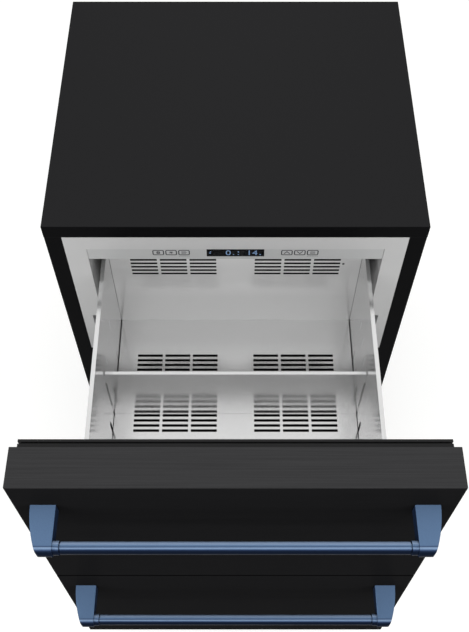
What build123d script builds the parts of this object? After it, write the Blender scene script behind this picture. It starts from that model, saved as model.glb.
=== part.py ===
from build123d import *
from math import radians, sin, cos
import os

os.makedirs("parts", exist_ok=True)

# A two-drawer under-counter freezer, 24 inches wide, with both drawers pulled open.
# Millimetres, +Z up, the drawers open towards -Y, the floor is Z = 0.

# Cabinet
cabinet_width = 597.0
cabinet_depth = 520.0
cabinet_height = 876.0
steel = 1.0
bend = 2.0
side_rim = 27.4
top_rim = 26.4
rear_lip = 15.0
base_height = 25.0
pan_steel = 1.5
pan_lip = 22.0
toe_setback = 24.0
toe_fold = 12.0

# Doors and how far they are pulled out
door_thickness = 58.0
door_bottom_height = 71.5
door_gap = 3.0
door_top_drop = 0.5
opening = 346.7
seal_clearance = 0.3
door_liner_wall = 2.0

# Gasket
gasket_inset = 8.5
gasket_width = 20.0
gasket_base = 8.1
gasket_neck = 2.9
gasket_head = 3.6
gasket_neck_inset = 3.5

# Handles
bar_radius = 8.5
bar_standoff = 55.0
bar_spigot = 6.5
spigot_clearance = 0.05
spigot_length = 18.0
groove = 1.7
collar_radius = 9.5
collar_length = 8.5
post_edge_gap = 23.3
post_width = 34.7
post_waist_inset = 3.6
post_waist_depth = 32.0
post_tip_inset = 14.2
post_corner = 7.0
nose_radius = 11.5
handle_drop = 60.0

# Liners and the openings they line
liner_wall = 2.0
liner_gap = 0.2
side_thickness = 62.0
pocket_side_thickness = 45.2
opening_top_drop = 57.5
mullion_height = 68.0
lower_sill = 39.5
floor_thickness = 46.0
liner_lip = 3.0
upper_rear_thickness = 58.0
lower_rear_thickness = 115.0
step_front_thickness = 45.0
step_top_thickness = 40.0
pocket_height = 58.0
pocket_end_gap = 3.0
rail_channel_depth = 7.0

# Compressor room
cover_recess = 12.0
compressor_gap = 8.0
compressor_side_gap = 55.5
condenser_side_gap = 53.5
relay_gap = 11.0
line_room = 31.5

# Drawer boxes
box_side_gap = 21.5
box_rim = 6.5
box_rim_lip = 8.0
box_top_drop = 117.5
box_floor_rise = 54.0
box_rear_gap = 11.0
step_rear_gap = 6.0
step_floor_gap = 8.0

# Slots in the drawer floors and backs
slot_length = 45.6
slot_width = 5.0
slot_gap = 4.9
slot_columns = 3
slot_side_gap = 35.55
slot_rows = 5
back_slot_pitch = 10.2
back_slot_drop = 33.9
floor_slot_pitch = 9.75
rear_slots_behind = 77.7
front_slots_behind = 189.0
sensor_hole_radius = 2.5
small_facets = 8
sensor_hole_side_gap = 30.0
sensor_hole_drop = 46.0
cut_past = 1.0

# Divider
divider_rear_gap = 194.5
divider_drop = 81.5
divider_side_gap = 1.5
divider_hem = 5.3
divider_hem_lip = 6.0
hem_foot = 0.3
peg_slot_width = 2.5
peg_slot_pitch = 35.0
peg_slot_count = 5
peg_high_drop = 84.0
peg_high_height = 31.0
peg_low_height = 36.0
peg_low_gap = 2.0
peg_height = 22.0
peg_length = 2.0

# Telescopic rails
upper_rail_lift = 62.0
rail_start = 8.0
rail_end_gap = 14.0
rail_sheet = 1.2
rail_depth = 12.7
inner_half = 13.2
middle_half = 16.2
outer_half = 19.2
race_clearance = 0.3
inner_flange = 7.0
middle_web_out = 10.0
middle_start = 2.5
outer_start = 3.7
bracket_sheet = 1.5
bracket_half = 18.0
bracket_foot = 9.0
bracket_length = 60.0
bracket_inset = 14.0

# Control strip
strip_height = 27.6
strip_depth = 45.0
strip_setback = 1.0
strip_wall = 2.5
strip_gap = 0.2
window_width = 92.0
window_height = 19.9
window_drop = 10.6
window_recess = 1.5
pad_width = 18.4
pad_height = 13.6
pad_corner = 2.0
pad_recess = 0.6
pad_first = 82.0
pad_pitch = 20.6
pad_count = 3
pad_drop = 10.3
lens_length = 120.0
lens_depth = 18.0
lens_height = 4.0
lens_setback = 60.0
lens_chamfer = 2.0

# Levelling feet
foot_side_gap = 32.5
front_foot_setback = 46.0
rear_foot_gap = 35.0
shank_radius = 5.0
shank_top = 56.0
thread_clearance = 0.1
foot_pad_radius = 20.0
foot_pad_height = 8.0
foot_pad_chamfer = 2.0
foot_collar_radius = 10.0
foot_gap = 0.3
weld_nut_radius = 10.0
weld_nut_height = 12.0

# Evaporator and its fan
evaporator_side_gap = 51.5
evaporator_depth = 44.0
evaporator_fan_gap = 21.0
grille_gap = 14.0
grille_wall = 2.0
grille_rows = 4
evaporator_fan_drop = 114.0
evaporator_fan_radius = 46.0
evaporator_hub_radius = 14.0
evaporator_motor_radius = 22.0
evaporator_motor_length = 26.0

# Condenser and its fan
condenser_length = 150.0
condenser_depth = 120.0
condenser_height = 158.0
shroud_gap = 35.0
shroud_sheet = 1.5
shroud_side_gap = 7.5
shroud_rise = 7.0
shroud_foot = 12.0
condenser_fan_radius = 44.0
condenser_hub_radius = 15.0
shroud_hole_radius = 47.0
condenser_motor_radius = 20.0
condenser_motor_length = 34.0
motor_arm_width = 10.0
motor_arm_sheet = 2.0
motor_arm_setback = 6.0
motor_arm_overlap = 6.0
motor_arm_turns = (0, 120, 240)
coil_fin = 0.8
coil_fin_pitch = 18.0
coil_core = 3.0
coil_end_plate = 2.0
coil_rows = 3
tube_radius = 4.0
tube_facets = 6
return_bend_length = 14.0
return_bend_height = 24.0

# Fans
hub_length = 12.0
hub_facets = 12
blade_count = 5
blade_sheet = 1.5
blade_chord = 27.0
blade_camber = 4.0
blade_pitch = 32.0
fan_shaft_radius = 2.0
shaft_clearance = 0.05
shaft_length = 12.0
shaft_engagement = 9.0
fan_gap = 3.0
shaft_end_gap = 1.0
motor_chamfer = 2.0

# Compressor
can_radius = 70.0
can_height = 142.0
can_dome = 24.0
can_sink = 2.0
seam_height = 76.0
seam_rim = 3.0
mount_height = 12.0
mount_radius = 12.0
mount_nut_radius = 7.0
mount_nut_height = 5.0
mount_x = 88.0
mount_y = 50.0
plate_sheet = 3.0
plate_margin = 15.0
relay_width = 48.0
relay_depth = 36.0
relay_height = 40.0
relay_lift = 36.0
relay_corner = 5.0
relay_seat = 12.0

# Smaller fittings
duct_half = 60.0
duct_side_gap = 188.5
duct_depth = 30.0
duct_wall = 1.5
duct_rear_gap = 2.0
duct_outlet_drop = 44.0
duct_outlet_height = 30.0
drain_rear_gap = 10.0
drain_radius = 6.0
drain_bore = 4.5
drain_tray_gap = 5.5
tray_side_gap = 6.0
tray_end_gap = 12.5
tray_height = 24.0
tray_wall = 1.5
suction_side_gap = 11.5
hot_line_radius = 3.0
hot_line_drop = 8.0
stub_offset = 30.0
line_bend = 11.0
gland_side_gap = 66.5
gland_z = 70.0
gland_radius = 8.0
gland_flange = 12.0
gland_bore = 4.0
gland_bore_depth = 12.0
gland_nose = 9.0
gland_chamfer = 3.0
gland_barrel = 8.0
louvre_length = 150.0
louvre_width = 6.0
louvre_gap = 20.0
louvre_shift = 30.0
louvre_pitch = 16.0
louvre_rows = 7
toe_slot_length = 52.0
toe_slot_width = 5.0
toe_slot_pitch = 62.0
toe_slot_columns = 8
toe_slot_rows = 2
toe_row_pitch = 12.0

# Places worked out from the sizes above: the cabinet and the doors
half_width = cabinet_width / 2
inner_half_width = half_width - steel
gasket_depth = gasket_base + gasket_neck + gasket_head
handle_reach = bar_standoff + nose_radius
pulled_out = opening + seal_clearance + gasket_depth + door_thickness + handle_reach
front = (pulled_out - cabinet_depth) / 2
back = front + cabinet_depth
door_back = front - seal_clearance - opening - gasket_depth
door_front = door_back - door_thickness
top = cabinet_height
door_height = (top - door_top_drop - door_gap - door_bottom_height) / 2
upper_door_top = top - door_top_drop
lower_door_top = door_bottom_height + door_height
post_outer = half_width - post_edge_gap
post_inner = post_outer - post_width

# The compressor room, as deep as its compressor and as high as its condenser need
pan_top = base_height + pan_steel
room_height = pan_top + condenser_height + line_room
room_ceiling = room_height - steel
cover_y = back - 2 * steel - cover_recess
compressor_x = half_width - compressor_side_gap - mount_x - plate_margin
compressor_y = cover_y - compressor_gap - can_radius - seam_rim
relay_y = compressor_y - can_radius + relay_seat
room_y = relay_y - relay_depth - relay_gap
room_clear = cover_y - room_y - steel
condenser_x = -(half_width - condenser_side_gap - condenser_length / 2)
condenser_y = (cover_y + room_y + steel) / 2
shroud_x = condenser_x + condenser_length / 2 + shroud_gap
shroud_width = room_clear - 2 * shroud_side_gap
shroud_height = condenser_height + shroud_rise
condenser_fan_z = pan_top + shroud_height / 2
tray_low_x = shroud_x + shroud_foot + tray_side_gap
tray_high_x = compressor_x - mount_x - plate_margin - tray_side_gap
tray_depth = room_clear - 2 * tray_end_gap

# The cavities and what they hold
opening_half = half_width - side_thickness
pocket_half = half_width - pocket_side_thickness
flange_half = half_width - side_rim - liner_gap
split_z = lower_door_top + door_gap / 2
upper_high = top - opening_top_drop
upper_low = split_z + mullion_height / 2
lower_high = split_z - mullion_height / 2
lower_low = door_bottom_height + lower_sill
deck_height = lower_low - floor_thickness
step_height = room_height + step_top_thickness
upper_rear = back - upper_rear_thickness
lower_rear = back - lower_rear_thickness
step_y = room_y - step_front_thickness
grille_y = upper_rear - evaporator_depth - grille_gap
evaporator_length = 2 * (opening_half - evaporator_side_gap)
evaporator_y = upper_rear - evaporator_depth / 2
evaporator_fan_z = upper_high - evaporator_fan_drop
evaporator_height = evaporator_fan_z - evaporator_fan_radius - evaporator_fan_gap - upper_low
suction_x = opening_half - suction_side_gap
duct_x = -(half_width - duct_side_gap)
duct_rear = upper_rear - duct_rear_gap
duct_low = lower_high - duct_outlet_drop
drain_x = (tray_low_x + tray_high_x) / 2
drain_y = upper_rear - drain_rear_gap
drain_end = pan_top + tray_height + drain_tray_gap

# The drawer boxes and their rails
box_half = opening_half - box_side_gap
box_back = grille_y - opening - box_rear_gap
riser_y = step_y - opening - step_rear_gap
step_floor = step_height + step_floor_gap
slot_centre = box_half - slot_side_gap - (slot_columns * (slot_length + slot_gap) - slot_gap) / 2
divider_y = box_back - divider_rear_gap
divider_half = box_half - divider_side_gap
rail_x = box_half + steel
pocket_rear = lower_rear - pocket_end_gap
rail_length = pocket_rear - front - rail_start - rail_end_gap
upper_rail_z = upper_door_top - door_height + box_floor_rise + upper_rail_lift
lower_rail_z = step_height + pocket_height / 2


def block(x0, x1, y0, y1, z0, z1):
    """A box between two corners."""
    centre = Pos((x0 + x1) / 2, (y0 + y1) / 2, (z0 + z1) / 2)
    return centre * Box(x1 - x0, y1 - y0, z1 - z0)


def across(profile, x0, x1):
    """A profile drawn in (y, z), extruded along X."""
    return extrude(Plane.YZ.offset(x0) * profile, x1 - x0)


def along(profile, y0, y1):
    """A profile drawn in (x, z), extruded along Y."""
    plane = Plane(origin=(0, y1, 0), x_dir=(1, 0, 0), z_dir=(0, -1, 0))
    return extrude(plane * profile, y1 - y0)


def upward(profile, z0, z1):
    """A profile drawn in (x, y), extruded along Z."""
    return extrude(Plane.XY.offset(z0) * profile, z1 - z0)


def sheet(points, side, thickness=steel, radius=0.0):
    """The section of folded sheet whose outer face follows the points."""
    path = FilletPolyline(*points, radius=radius) if radius else Polyline(*points)
    edge = offset(path, thickness, kind=Kind.INTERSECTION, side=side, closed=True)
    return make_face(edge)


def mirrored(shape):
    """The same piece on the other side of the cabinet."""
    return mirror(shape, about=Plane.YZ)


def save(name, *shapes):
    """Writes the separate solids of one piece, or group of like pieces."""
    solids = [solid for shape in shapes for solid in shape.solids()]
    whole = solids[0] if len(solids) == 1 else Compound(solids)
    export_step(whole, f"parts/{name}.step")


def slot_outline():
    """One ventilation slot, lying along its own X axis."""
    return Rectangle(slot_length, slot_width)


# Cabinet skin
def cabinet_top():
    """The top sheet, folded down at the front rim and the rear lip."""
    section = sheet(
        [(back, top - rear_lip), (back, top), (front, top), (front, top - top_rim)],
        Side.LEFT, radius=bend)
    return across(section, -half_width, half_width)


def side_panel():
    """The right side sheet, folded in at the front rim and the rear lip."""
    section = sheet(
        [(half_width - rear_lip, back), (half_width, back),
         (half_width, front), (half_width - side_rim, front)],
        Side.RIGHT, radius=bend)
    panel = upward(section, base_height, top - steel)
    panel -= block(inner_half_width - side_rim, half_width, front, front + bend, top - top_rim, top)
    panel -= block(inner_half_width - rear_lip, half_width, back - bend, back, top - rear_lip, top)
    return panel


def rim_channel(z_low, z_high):
    """A shallow channel across the front, between the two side rims."""
    deep = front + rail_channel_depth
    section = sheet([(deep, z_high), (front, z_high), (front, z_low), (deep, z_low)], Side.LEFT)
    return across(section, -half_width + side_rim, half_width - side_rim)


def rim_channel_places():
    """Where the mullion and the bottom rail run, as heights."""
    return [(lower_high + liner_lip, upper_low - liner_lip), (deck_height, lower_low - liner_lip)]


def back_panel():
    """The sheet behind the foam, above the compressor room."""
    y0 = back - 2 * steel
    half = half_width - bend
    return block(-half, half, y0, y0 + steel, room_ceiling, top - bend)


def deck():
    """The folded sheet under the foam, stepped up over the compressor room."""
    section = sheet(
        [(front + liner_wall, deck_height), (room_y, deck_height),
         (room_y, room_height), (back - 2 * steel, room_height)], Side.RIGHT)
    plate = across(section, -inner_half_width, inner_half_width)
    return plate - drain_core() - suction_core()


# Liners and foam
def pocket(z_mid, grow):
    """The recess for the rails, open at the front."""
    reach = pocket_height / 2 + grow
    return block(
        -pocket_half - grow, pocket_half + grow, front, pocket_rear + grow,
        z_mid - reach, z_mid + reach)


def upper_space(grow=0.0):
    """The upper cavity, or the outside of its liner."""
    room = block(
        -opening_half - grow, opening_half + grow, front, upper_rear + grow,
        upper_low - grow, upper_high + grow)
    return room + pocket(upper_rail_z, grow)


def lower_space(grow=0.0):
    """The lower cavity, shallow below and deep above the compressor room."""
    shallow = block(
        -opening_half - grow, opening_half + grow, front, step_y + grow,
        lower_low - grow, lower_high + grow)
    deep = block(
        -opening_half - grow, opening_half + grow, front, lower_rear + grow,
        step_height - grow, lower_high + grow)
    return shallow + deep + pocket(lower_rail_z, grow)


def flange(z_low, z_high):
    """The liner's front flange."""
    return block(-flange_half, flange_half, front, front + liner_wall, z_low, z_high)


def upper_liner():
    """The moulded tub of the upper cavity."""
    face = flange(upper_low - liner_lip, top - top_rim - liner_gap)
    tub = upper_space(liner_wall) + face - upper_space()
    return tub - drain_core() - suction_core() - duct_core()


def lower_liner():
    """The moulded tub of the lower cavity."""
    face = flange(lower_low - liner_lip, lower_high + liner_lip)
    return lower_space(liner_wall) + face - lower_space() - duct_core()


def foam():
    """The insulation that fills the walls, foamed round the liners."""
    section = make_face(Polyline(
        (front + liner_wall, deck_height), (room_y, deck_height),
        (room_y, room_height), (back - 2 * steel, room_height),
        (back - 2 * steel, top - steel), (front + liner_wall, top - steel), close=True))
    body = across(section, -inner_half_width, inner_half_width)
    body -= upper_space(liner_wall)
    body -= lower_space(liner_wall)
    for z_low, z_high in rim_channel_places():
        body -= block(
            -half_width + side_rim, half_width - side_rim,
            front, front + rail_channel_depth, z_low, z_high)
    return body - drain_core() - suction_core() - duct_core()


# Base
def base_pan():
    """The pan that carries the compressor, with a weld nut at each foot."""
    section = sheet(
        [(-inner_half_width, base_height + pan_lip), (-inner_half_width, base_height),
         (inner_half_width, base_height), (inner_half_width, base_height + pan_lip)],
        Side.LEFT, pan_steel)
    pan = along(section, front + toe_setback + steel, back - 2 * steel)
    for x, y in foot_places():
        spot = Pos(x, y)
        pan += upward(spot * RegularPolygon(weld_nut_radius, 6), pan_top, pan_top + weld_nut_height)
        hole = RegularPolygon(shank_radius + thread_clearance, small_facets)
        pan -= upward(spot * hole, 0, room_height)
    return pan


def foot_places():
    """Front left, front right, rear left and rear right."""
    x = half_width - foot_side_gap
    return [(side * x, y) for y in (front + front_foot_setback, back - rear_foot_gap)
            for side in (-1, 1)]


def foot(x, y):
    """A screwed foot: hexagonal pad, collar and threaded shank."""
    spot = Pos(x, y)
    pad = upward(spot * RegularPolygon(foot_pad_radius, 6), 0, foot_pad_height)
    pad = chamfer(pad.faces().sort_by(Axis.Z)[-1].edges(), foot_pad_chamfer)
    collar = upward(spot * RegularPolygon(foot_collar_radius, 6), foot_pad_height, base_height - foot_gap)
    shank = RegularPolygon(shank_radius, small_facets)
    shank = upward(spot * shank, base_height - foot_gap, shank_top)
    return pad + collar + shank


def toe_grille():
    """The slotted kick plate under the lower drawer."""
    y0 = front + toe_setback
    section = sheet(
        [(y0, base_height), (y0, deck_height - steel), (y0 + toe_fold, deck_height - steel)],
        Side.RIGHT)
    plate = across(section, -inner_half_width, inner_half_width)
    middle = (base_height + deck_height) / 2
    cutter = along(Rectangle(toe_slot_length, toe_slot_width), y0 - cut_past, y0 + steel + cut_past)
    for spot in GridLocations(toe_slot_pitch, toe_row_pitch, toe_slot_columns, toe_slot_rows):
        plate -= Pos(spot.position.X, 0, middle + spot.position.Y) * cutter
    return plate


def machine_cover():
    """The louvred cover behind the compressor room."""
    outside = back - steel
    inside = cover_y + steel
    edge = half_width - bend
    shoulder = inner_half_width - rear_lip
    section = sheet(
        [(-edge, outside), (-shoulder, outside), (-shoulder, inside),
         (shoulder, inside), (shoulder, outside), (edge, outside)], Side.RIGHT)
    plate = upward(section, pan_top, room_ceiling)
    cutter = along(Rectangle(louvre_length, louvre_width), cover_y - cut_past, inside + cut_past)
    middle = (pan_top + room_ceiling) / 2
    for spot in GridLocations(louvre_length + louvre_gap, louvre_pitch, 2, louvre_rows):
        plate -= Pos(spot.position.X - louvre_shift, 0, middle + spot.position.Y) * cutter
    gland_hole = Pos(half_width - gland_side_gap, gland_z) * RegularPolygon(gland_radius, small_facets)
    return plate - along(gland_hole, cover_y - cut_past, inside + cut_past)


def cord_gland():
    """The bushing that the supply cord would leave through."""
    y_out = cover_y + steel
    mouth = y_out + gland_nose
    spot = Pos(half_width - gland_side_gap, gland_z)
    collar = along(spot * RegularPolygon(gland_flange, small_facets), y_out, mouth)
    collar = chamfer(collar.faces().sort_by(Axis.Y)[-1].edges(), gland_chamfer)
    barrel = along(spot * RegularPolygon(gland_radius, small_facets), y_out - gland_barrel, y_out)
    bore = along(spot * Circle(gland_bore), mouth - gland_bore_depth, mouth)
    return collar + barrel - bore


# Things that pass through the foam
def drain_core():
    """The space that the drain tube takes."""
    spot = Pos(drain_x, drain_y)
    return upward(spot * RegularPolygon(drain_radius, small_facets), drain_end, upper_low)


def drain_parts():
    """The drain tube and the tray that it empties into."""
    spot = Pos(drain_x, drain_y)
    tube = drain_core() - upward(spot * RegularPolygon(drain_bore, small_facets), 0, top)
    y0 = condenser_y - tray_depth / 2
    y1 = condenser_y + tray_depth / 2
    tray = block(tray_low_x, tray_high_x, y0, y1, pan_top, pan_top + tray_height)
    tray -= block(
        tray_low_x + tray_wall, tray_high_x - tray_wall, y0 + tray_wall, y1 - tray_wall,
        pan_top + tray_wall, pan_top + tray_height + cut_past)
    return [tube, tray]


def suction_path():
    """From the evaporator, down through the foam, to the compressor."""
    high = upper_low + evaporator_height / coil_rows
    low = pan_top + mount_height + can_height / 2
    return FilletPolyline(
        (evaporator_length / 2, evaporator_y, high), (suction_x, evaporator_y, high),
        (suction_x, evaporator_y, low), (compressor_x + can_radius / 2, evaporator_y, low),
        radius=line_bend)


def suction_core():
    """The space that the suction line takes in the walls."""
    spot = Pos(suction_x, evaporator_y)
    return upward(
        spot * RegularPolygon(tube_radius, tube_facets), room_ceiling - steel, upper_low + steel)


def refrigerant_lines():
    """The suction line and the hot line from the compressor to the condenser."""
    high = upper_low + evaporator_height / coil_rows
    inlet = Plane(origin=(evaporator_length / 2, evaporator_y, high), z_dir=(1, 0, 0))
    suction = sweep(inlet * RegularPolygon(tube_radius, tube_facets), suction_path())
    y = compressor_y
    shell = pan_top + mount_height + can_height / 2
    ceiling = room_ceiling - hot_line_drop
    coil_top = pan_top + condenser_height
    hot_path = FilletPolyline(
        (compressor_x - stub_offset, y, shell), (compressor_x - stub_offset, y, ceiling),
        (condenser_x + stub_offset, y, ceiling), (condenser_x + stub_offset, y, coil_top),
        radius=line_bend)
    outlet = Plane(origin=(compressor_x - stub_offset, y, shell), z_dir=(0, 0, 1))
    hot = sweep(outlet * RegularPolygon(hot_line_radius, tube_facets), hot_path)
    return [suction - compressor_can(), hot - compressor_can()]


def duct_core():
    """The space that the air duct takes in the walls."""
    x0 = duct_x - duct_half
    x1 = duct_x + duct_half
    drop = block(x0, x1, duct_rear - duct_depth, duct_rear, duct_low, upper_low)
    outlet = block(x0, x1, lower_rear, duct_rear, duct_low, duct_low + duct_outlet_height)
    return drop + outlet


def air_duct():
    """The duct that feeds cold air down to the lower cavity."""
    x0 = duct_x - duct_half + duct_wall
    x1 = duct_x + duct_half - duct_wall
    rear = duct_rear - duct_wall
    drop = block(
        x0, x1, duct_rear - duct_depth + duct_wall, rear, duct_low + duct_wall, upper_low + cut_past)
    outlet = block(
        x0, x1, lower_rear - cut_past, rear,
        duct_low + duct_wall, duct_low + duct_outlet_height - duct_wall)
    return duct_core() - drop - outlet


# Cooling
def finned_coil(length, depth, height):
    """Upright fins on a flat core, with the tube's return bends at both ends."""
    comb = Rectangle(length, coil_core)
    count = int(length // coil_fin_pitch) - 1
    for spot in GridLocations(coil_fin_pitch, 0, count, 1):
        comb += spot * Rectangle(coil_fin, depth)
    for end in (-1, 1):
        comb += Pos(end * (length - coil_end_plate) / 2, 0) * Rectangle(coil_end_plate, depth)
    coil = extrude(comb, height)
    for row in range(coil_rows):
        middle = height * (row + 0.5) / coil_rows
        for end in (-1, 1):
            coil += return_bend(end * length / 2, end * return_bend_length, middle)
    return coil


def return_bend(x, reach, middle):
    """The tube's turn from one row to the next, at the end of a coil."""
    low = middle - return_bend_height / 2
    high = middle + return_bend_height / 2
    path = Polyline((x, 0, low), (x + reach, 0, low), (x + reach, 0, high), (x, 0, high))
    start = Plane(origin=(x, 0, low), z_dir=(reach, 0, 0))
    return sweep(start * RegularPolygon(tube_radius, tube_facets), path, transition=Transition.RIGHT)


def fan(radius, hub_radius):
    """A moulded fan on its shaft, blowing along its own Z axis."""
    wheel = extrude(RegularPolygon(hub_radius, hub_facets), hub_length)
    half = blade_chord / 2
    outer = ThreePointArc((-half, 0), (0, blade_camber), (half, 0))
    section = make_face(offset(outer, blade_sheet, side=Side.RIGHT, closed=True))
    blade = extrude(Plane.YZ * section, radius)
    blade = Rot(blade_pitch, 0, 0) * blade
    blade = Pos(0, 0, hub_length / 2) * blade
    for turn in range(blade_count):
        wheel += Rot(0, 0, turn * 360 / blade_count) * blade
    shaft = Pos(0, 0, -shaft_length / 2) * Cylinder(fan_shaft_radius, shaft_length)
    return wheel + shaft


def fan_motor(radius, length):
    """A small shaded-pole motor; its face is at Z = 0 and its shaft hole opens there."""
    body = extrude(RegularPolygon(radius, small_facets), -length)
    body = chamfer(body.faces().sort_by(Axis.Z)[-1].edges(), motor_chamfer)
    hole = extrude(Circle(fan_shaft_radius + shaft_clearance), -(shaft_engagement + shaft_end_gap))
    return body - hole


def evaporator():
    """The coil behind the grille, against the back of the upper liner."""
    coil = finned_coil(evaporator_length, evaporator_depth, evaporator_height)
    return Pos(0, evaporator_y, upper_low) * coil


def evaporator_fan_place():
    """The motor's face, with the shaft pointing to the grille."""
    return Pos(0, upper_rear - evaporator_motor_length, evaporator_fan_z) * Rot(90, 0, 0)


def evaporator_grille():
    """The inner back wall of the upper cavity, slotted like the drawer behind it."""
    y1 = grille_y + grille_wall
    plate = block(-opening_half, opening_half, grille_y, y1, upper_low, upper_high)
    first = upper_door_top - box_top_drop - back_slot_drop
    cutter = along(slot_outline(), grille_y - cut_past, y1 + cut_past)
    for x in slot_xs():
        for row in range(grille_rows):
            plate -= Pos(x, 0, first - row * back_slot_pitch) * cutter
    return plate


def slot_xs():
    """The middle of each slot in a row, on both sides."""
    pitch = slot_length + slot_gap
    offsets = [(column - (slot_columns - 1) / 2) * pitch for column in range(slot_columns)]
    return [side * (slot_centre + step) for side in (-1, 1) for step in offsets]


def condenser():
    """The coil beside the fan, standing on the pan."""
    coil = finned_coil(condenser_depth, condenser_length, condenser_height)
    return Pos(condenser_x, condenser_y, pan_top) * Rot(0, 0, 90) * coil


def condenser_fan_place():
    """The motor's face, with the shaft pointing to the condenser."""
    face = shroud_x + hub_length + fan_gap + shaft_length - shaft_engagement
    return Pos(face, condenser_y, condenser_fan_z) * Rot(0, -90, 0)


def fan_shroud():
    """The upright plate that the condenser fan turns in."""
    y0 = condenser_y - shroud_width / 2
    y1 = condenser_y + shroud_width / 2
    plate = block(shroud_x, shroud_x + shroud_sheet, y0, y1, pan_top, pan_top + shroud_height)
    foot_plate = block(shroud_x, shroud_x + shroud_foot, y0, y1, pan_top, pan_top + shroud_sheet)
    centre = Pos(shroud_x, condenser_y, condenser_fan_z) * Rot(0, 90, 0)
    return plate + foot_plate - centre * Cylinder(shroud_hole_radius, 2 * shroud_foot)


def condenser_fan_motor():
    """The motor and the three-armed bracket that ties it to the shroud."""
    motor = condenser_fan_place() * fan_motor(condenser_motor_radius, condenser_motor_length)
    near = condenser_fan_place().position.X + motor_arm_setback
    far = near + motor_arm_sheet
    half = motor_arm_width / 2
    reach = shroud_hole_radius + motor_arm_overlap
    for turn in motor_arm_turns:
        arm = block(near, far, -half, half, condenser_motor_radius - motor_arm_sheet, reach)
        leg = block(shroud_x + shroud_sheet, far, -half, half, reach - motor_arm_sheet, reach)
        motor += Pos(0, condenser_y, condenser_fan_z) * Rot(turn, 0, 0) * (arm + leg)
    return motor


def compressor_can():
    """The welded steel shell, domed above and below its seam."""
    low = pan_top + mount_height - can_sink
    high = low + can_height
    profile = make_face(Polyline(
        (0, low), (can_radius - can_dome, low), (can_radius, low + can_dome),
        (can_radius, low + seam_height), (can_radius + seam_rim, low + seam_height),
        (can_radius + seam_rim, low + seam_height + seam_rim),
        (can_radius, low + seam_height + seam_rim), (can_radius, high - can_dome),
        (can_radius - can_dome, high), (0, high), close=True))
    return Pos(compressor_x, compressor_y, 0) * revolve(Plane.XZ * profile, Axis.Z)


def mount_places():
    """The four rubber mounts."""
    return [(compressor_x + x, compressor_y + y)
            for x in (-mount_x, mount_x) for y in (-mount_y, mount_y)]


def compressor():
    """The shell on its carrier plate."""
    low = pan_top + mount_height
    outline = Rectangle(2 * (mount_x + plate_margin), 2 * (mount_y + plate_margin))
    outline = chamfer(outline.vertices(), plate_margin / 2)
    plate = upward(Pos(compressor_x, compressor_y) * outline, low, low + plate_sheet)
    return compressor_can() + plate


def compressor_mounts():
    """A rubber mount under each corner of the carrier plate, and its nut on top."""
    pieces = []
    seat = pan_top + mount_height
    nut_seat = seat + plate_sheet
    for x, y in mount_places():
        spot = Pos(x, y)
        rubber = upward(spot * RegularPolygon(mount_radius, small_facets), pan_top, seat)
        nut = upward(spot * RegularPolygon(mount_nut_radius, 6), nut_seat, nut_seat + mount_nut_height)
        pieces += [rubber, nut]
    return pieces


def start_relay():
    """The relay box clipped to the front of the shell."""
    low = pan_top + relay_lift
    box = block(
        compressor_x - relay_width / 2, compressor_x + relay_width / 2,
        relay_y - relay_depth, relay_y, low, low + relay_height)
    box = chamfer(box.edges().filter_by(Axis.Z).group_by(Axis.Y)[0], relay_corner)
    return box - compressor_can()


# Control strip and lamp
def control_housing():
    """The strip across the top of the opening, with seats for its window and pads."""
    y0 = front + strip_setback
    low = upper_high - strip_height
    half = opening_half - strip_gap
    section = sheet([(y0 + strip_depth, low), (y0, low), (y0, upper_high)], Side.RIGHT, strip_wall)
    strip = across(section, -half, half)
    strip -= window_blank()
    for pad in touch_pads():
        strip -= pad
    return strip


def window_blank():
    """The display window, flush in its seat."""
    y0 = front + strip_setback
    z = upper_high - window_drop
    return block(
        -window_width / 2, window_width / 2, y0, y0 + window_recess,
        z - window_height / 2, z + window_height / 2)


def touch_pads():
    """Three pads on each side of the window, flush in their seats."""
    y0 = front + strip_setback
    outline = chamfer(Rectangle(pad_width, pad_height).vertices(), pad_corner)
    pad = along(outline, y0, y0 + pad_recess)
    return [Pos(side * (pad_first + step * pad_pitch), 0, upper_high - pad_drop) * pad
            for side in (-1, 1) for step in range(pad_count)]


def lamp_lens():
    """The clear cover of the lamp under the cavity's ceiling."""
    y0 = front + lens_setback
    lens = block(
        -lens_length / 2, lens_length / 2, y0, y0 + lens_depth, upper_high - lens_height, upper_high)
    return chamfer(lens.faces().sort_by(Axis.Z)[0].edges(), lens_chamfer)


# Doors
def door_skin(z_top):
    """The pressed pan of the door: front face and four sides."""
    z_low = z_top - door_height
    pan = block(-half_width, half_width, door_front, door_back, z_low, z_top)
    pan = fillet(pan.faces().sort_by(Axis.Y)[0].edges(), bend)
    return pan - block(
        -inner_half_width, inner_half_width, door_front + steel, door_back, z_low + steel, z_top - steel)


def door_core(z_top, y0, y1):
    """What fills the pan between two depths."""
    return block(
        -inner_half_width, inner_half_width, y0, y1, z_top - door_height + steel, z_top - steel)


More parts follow.
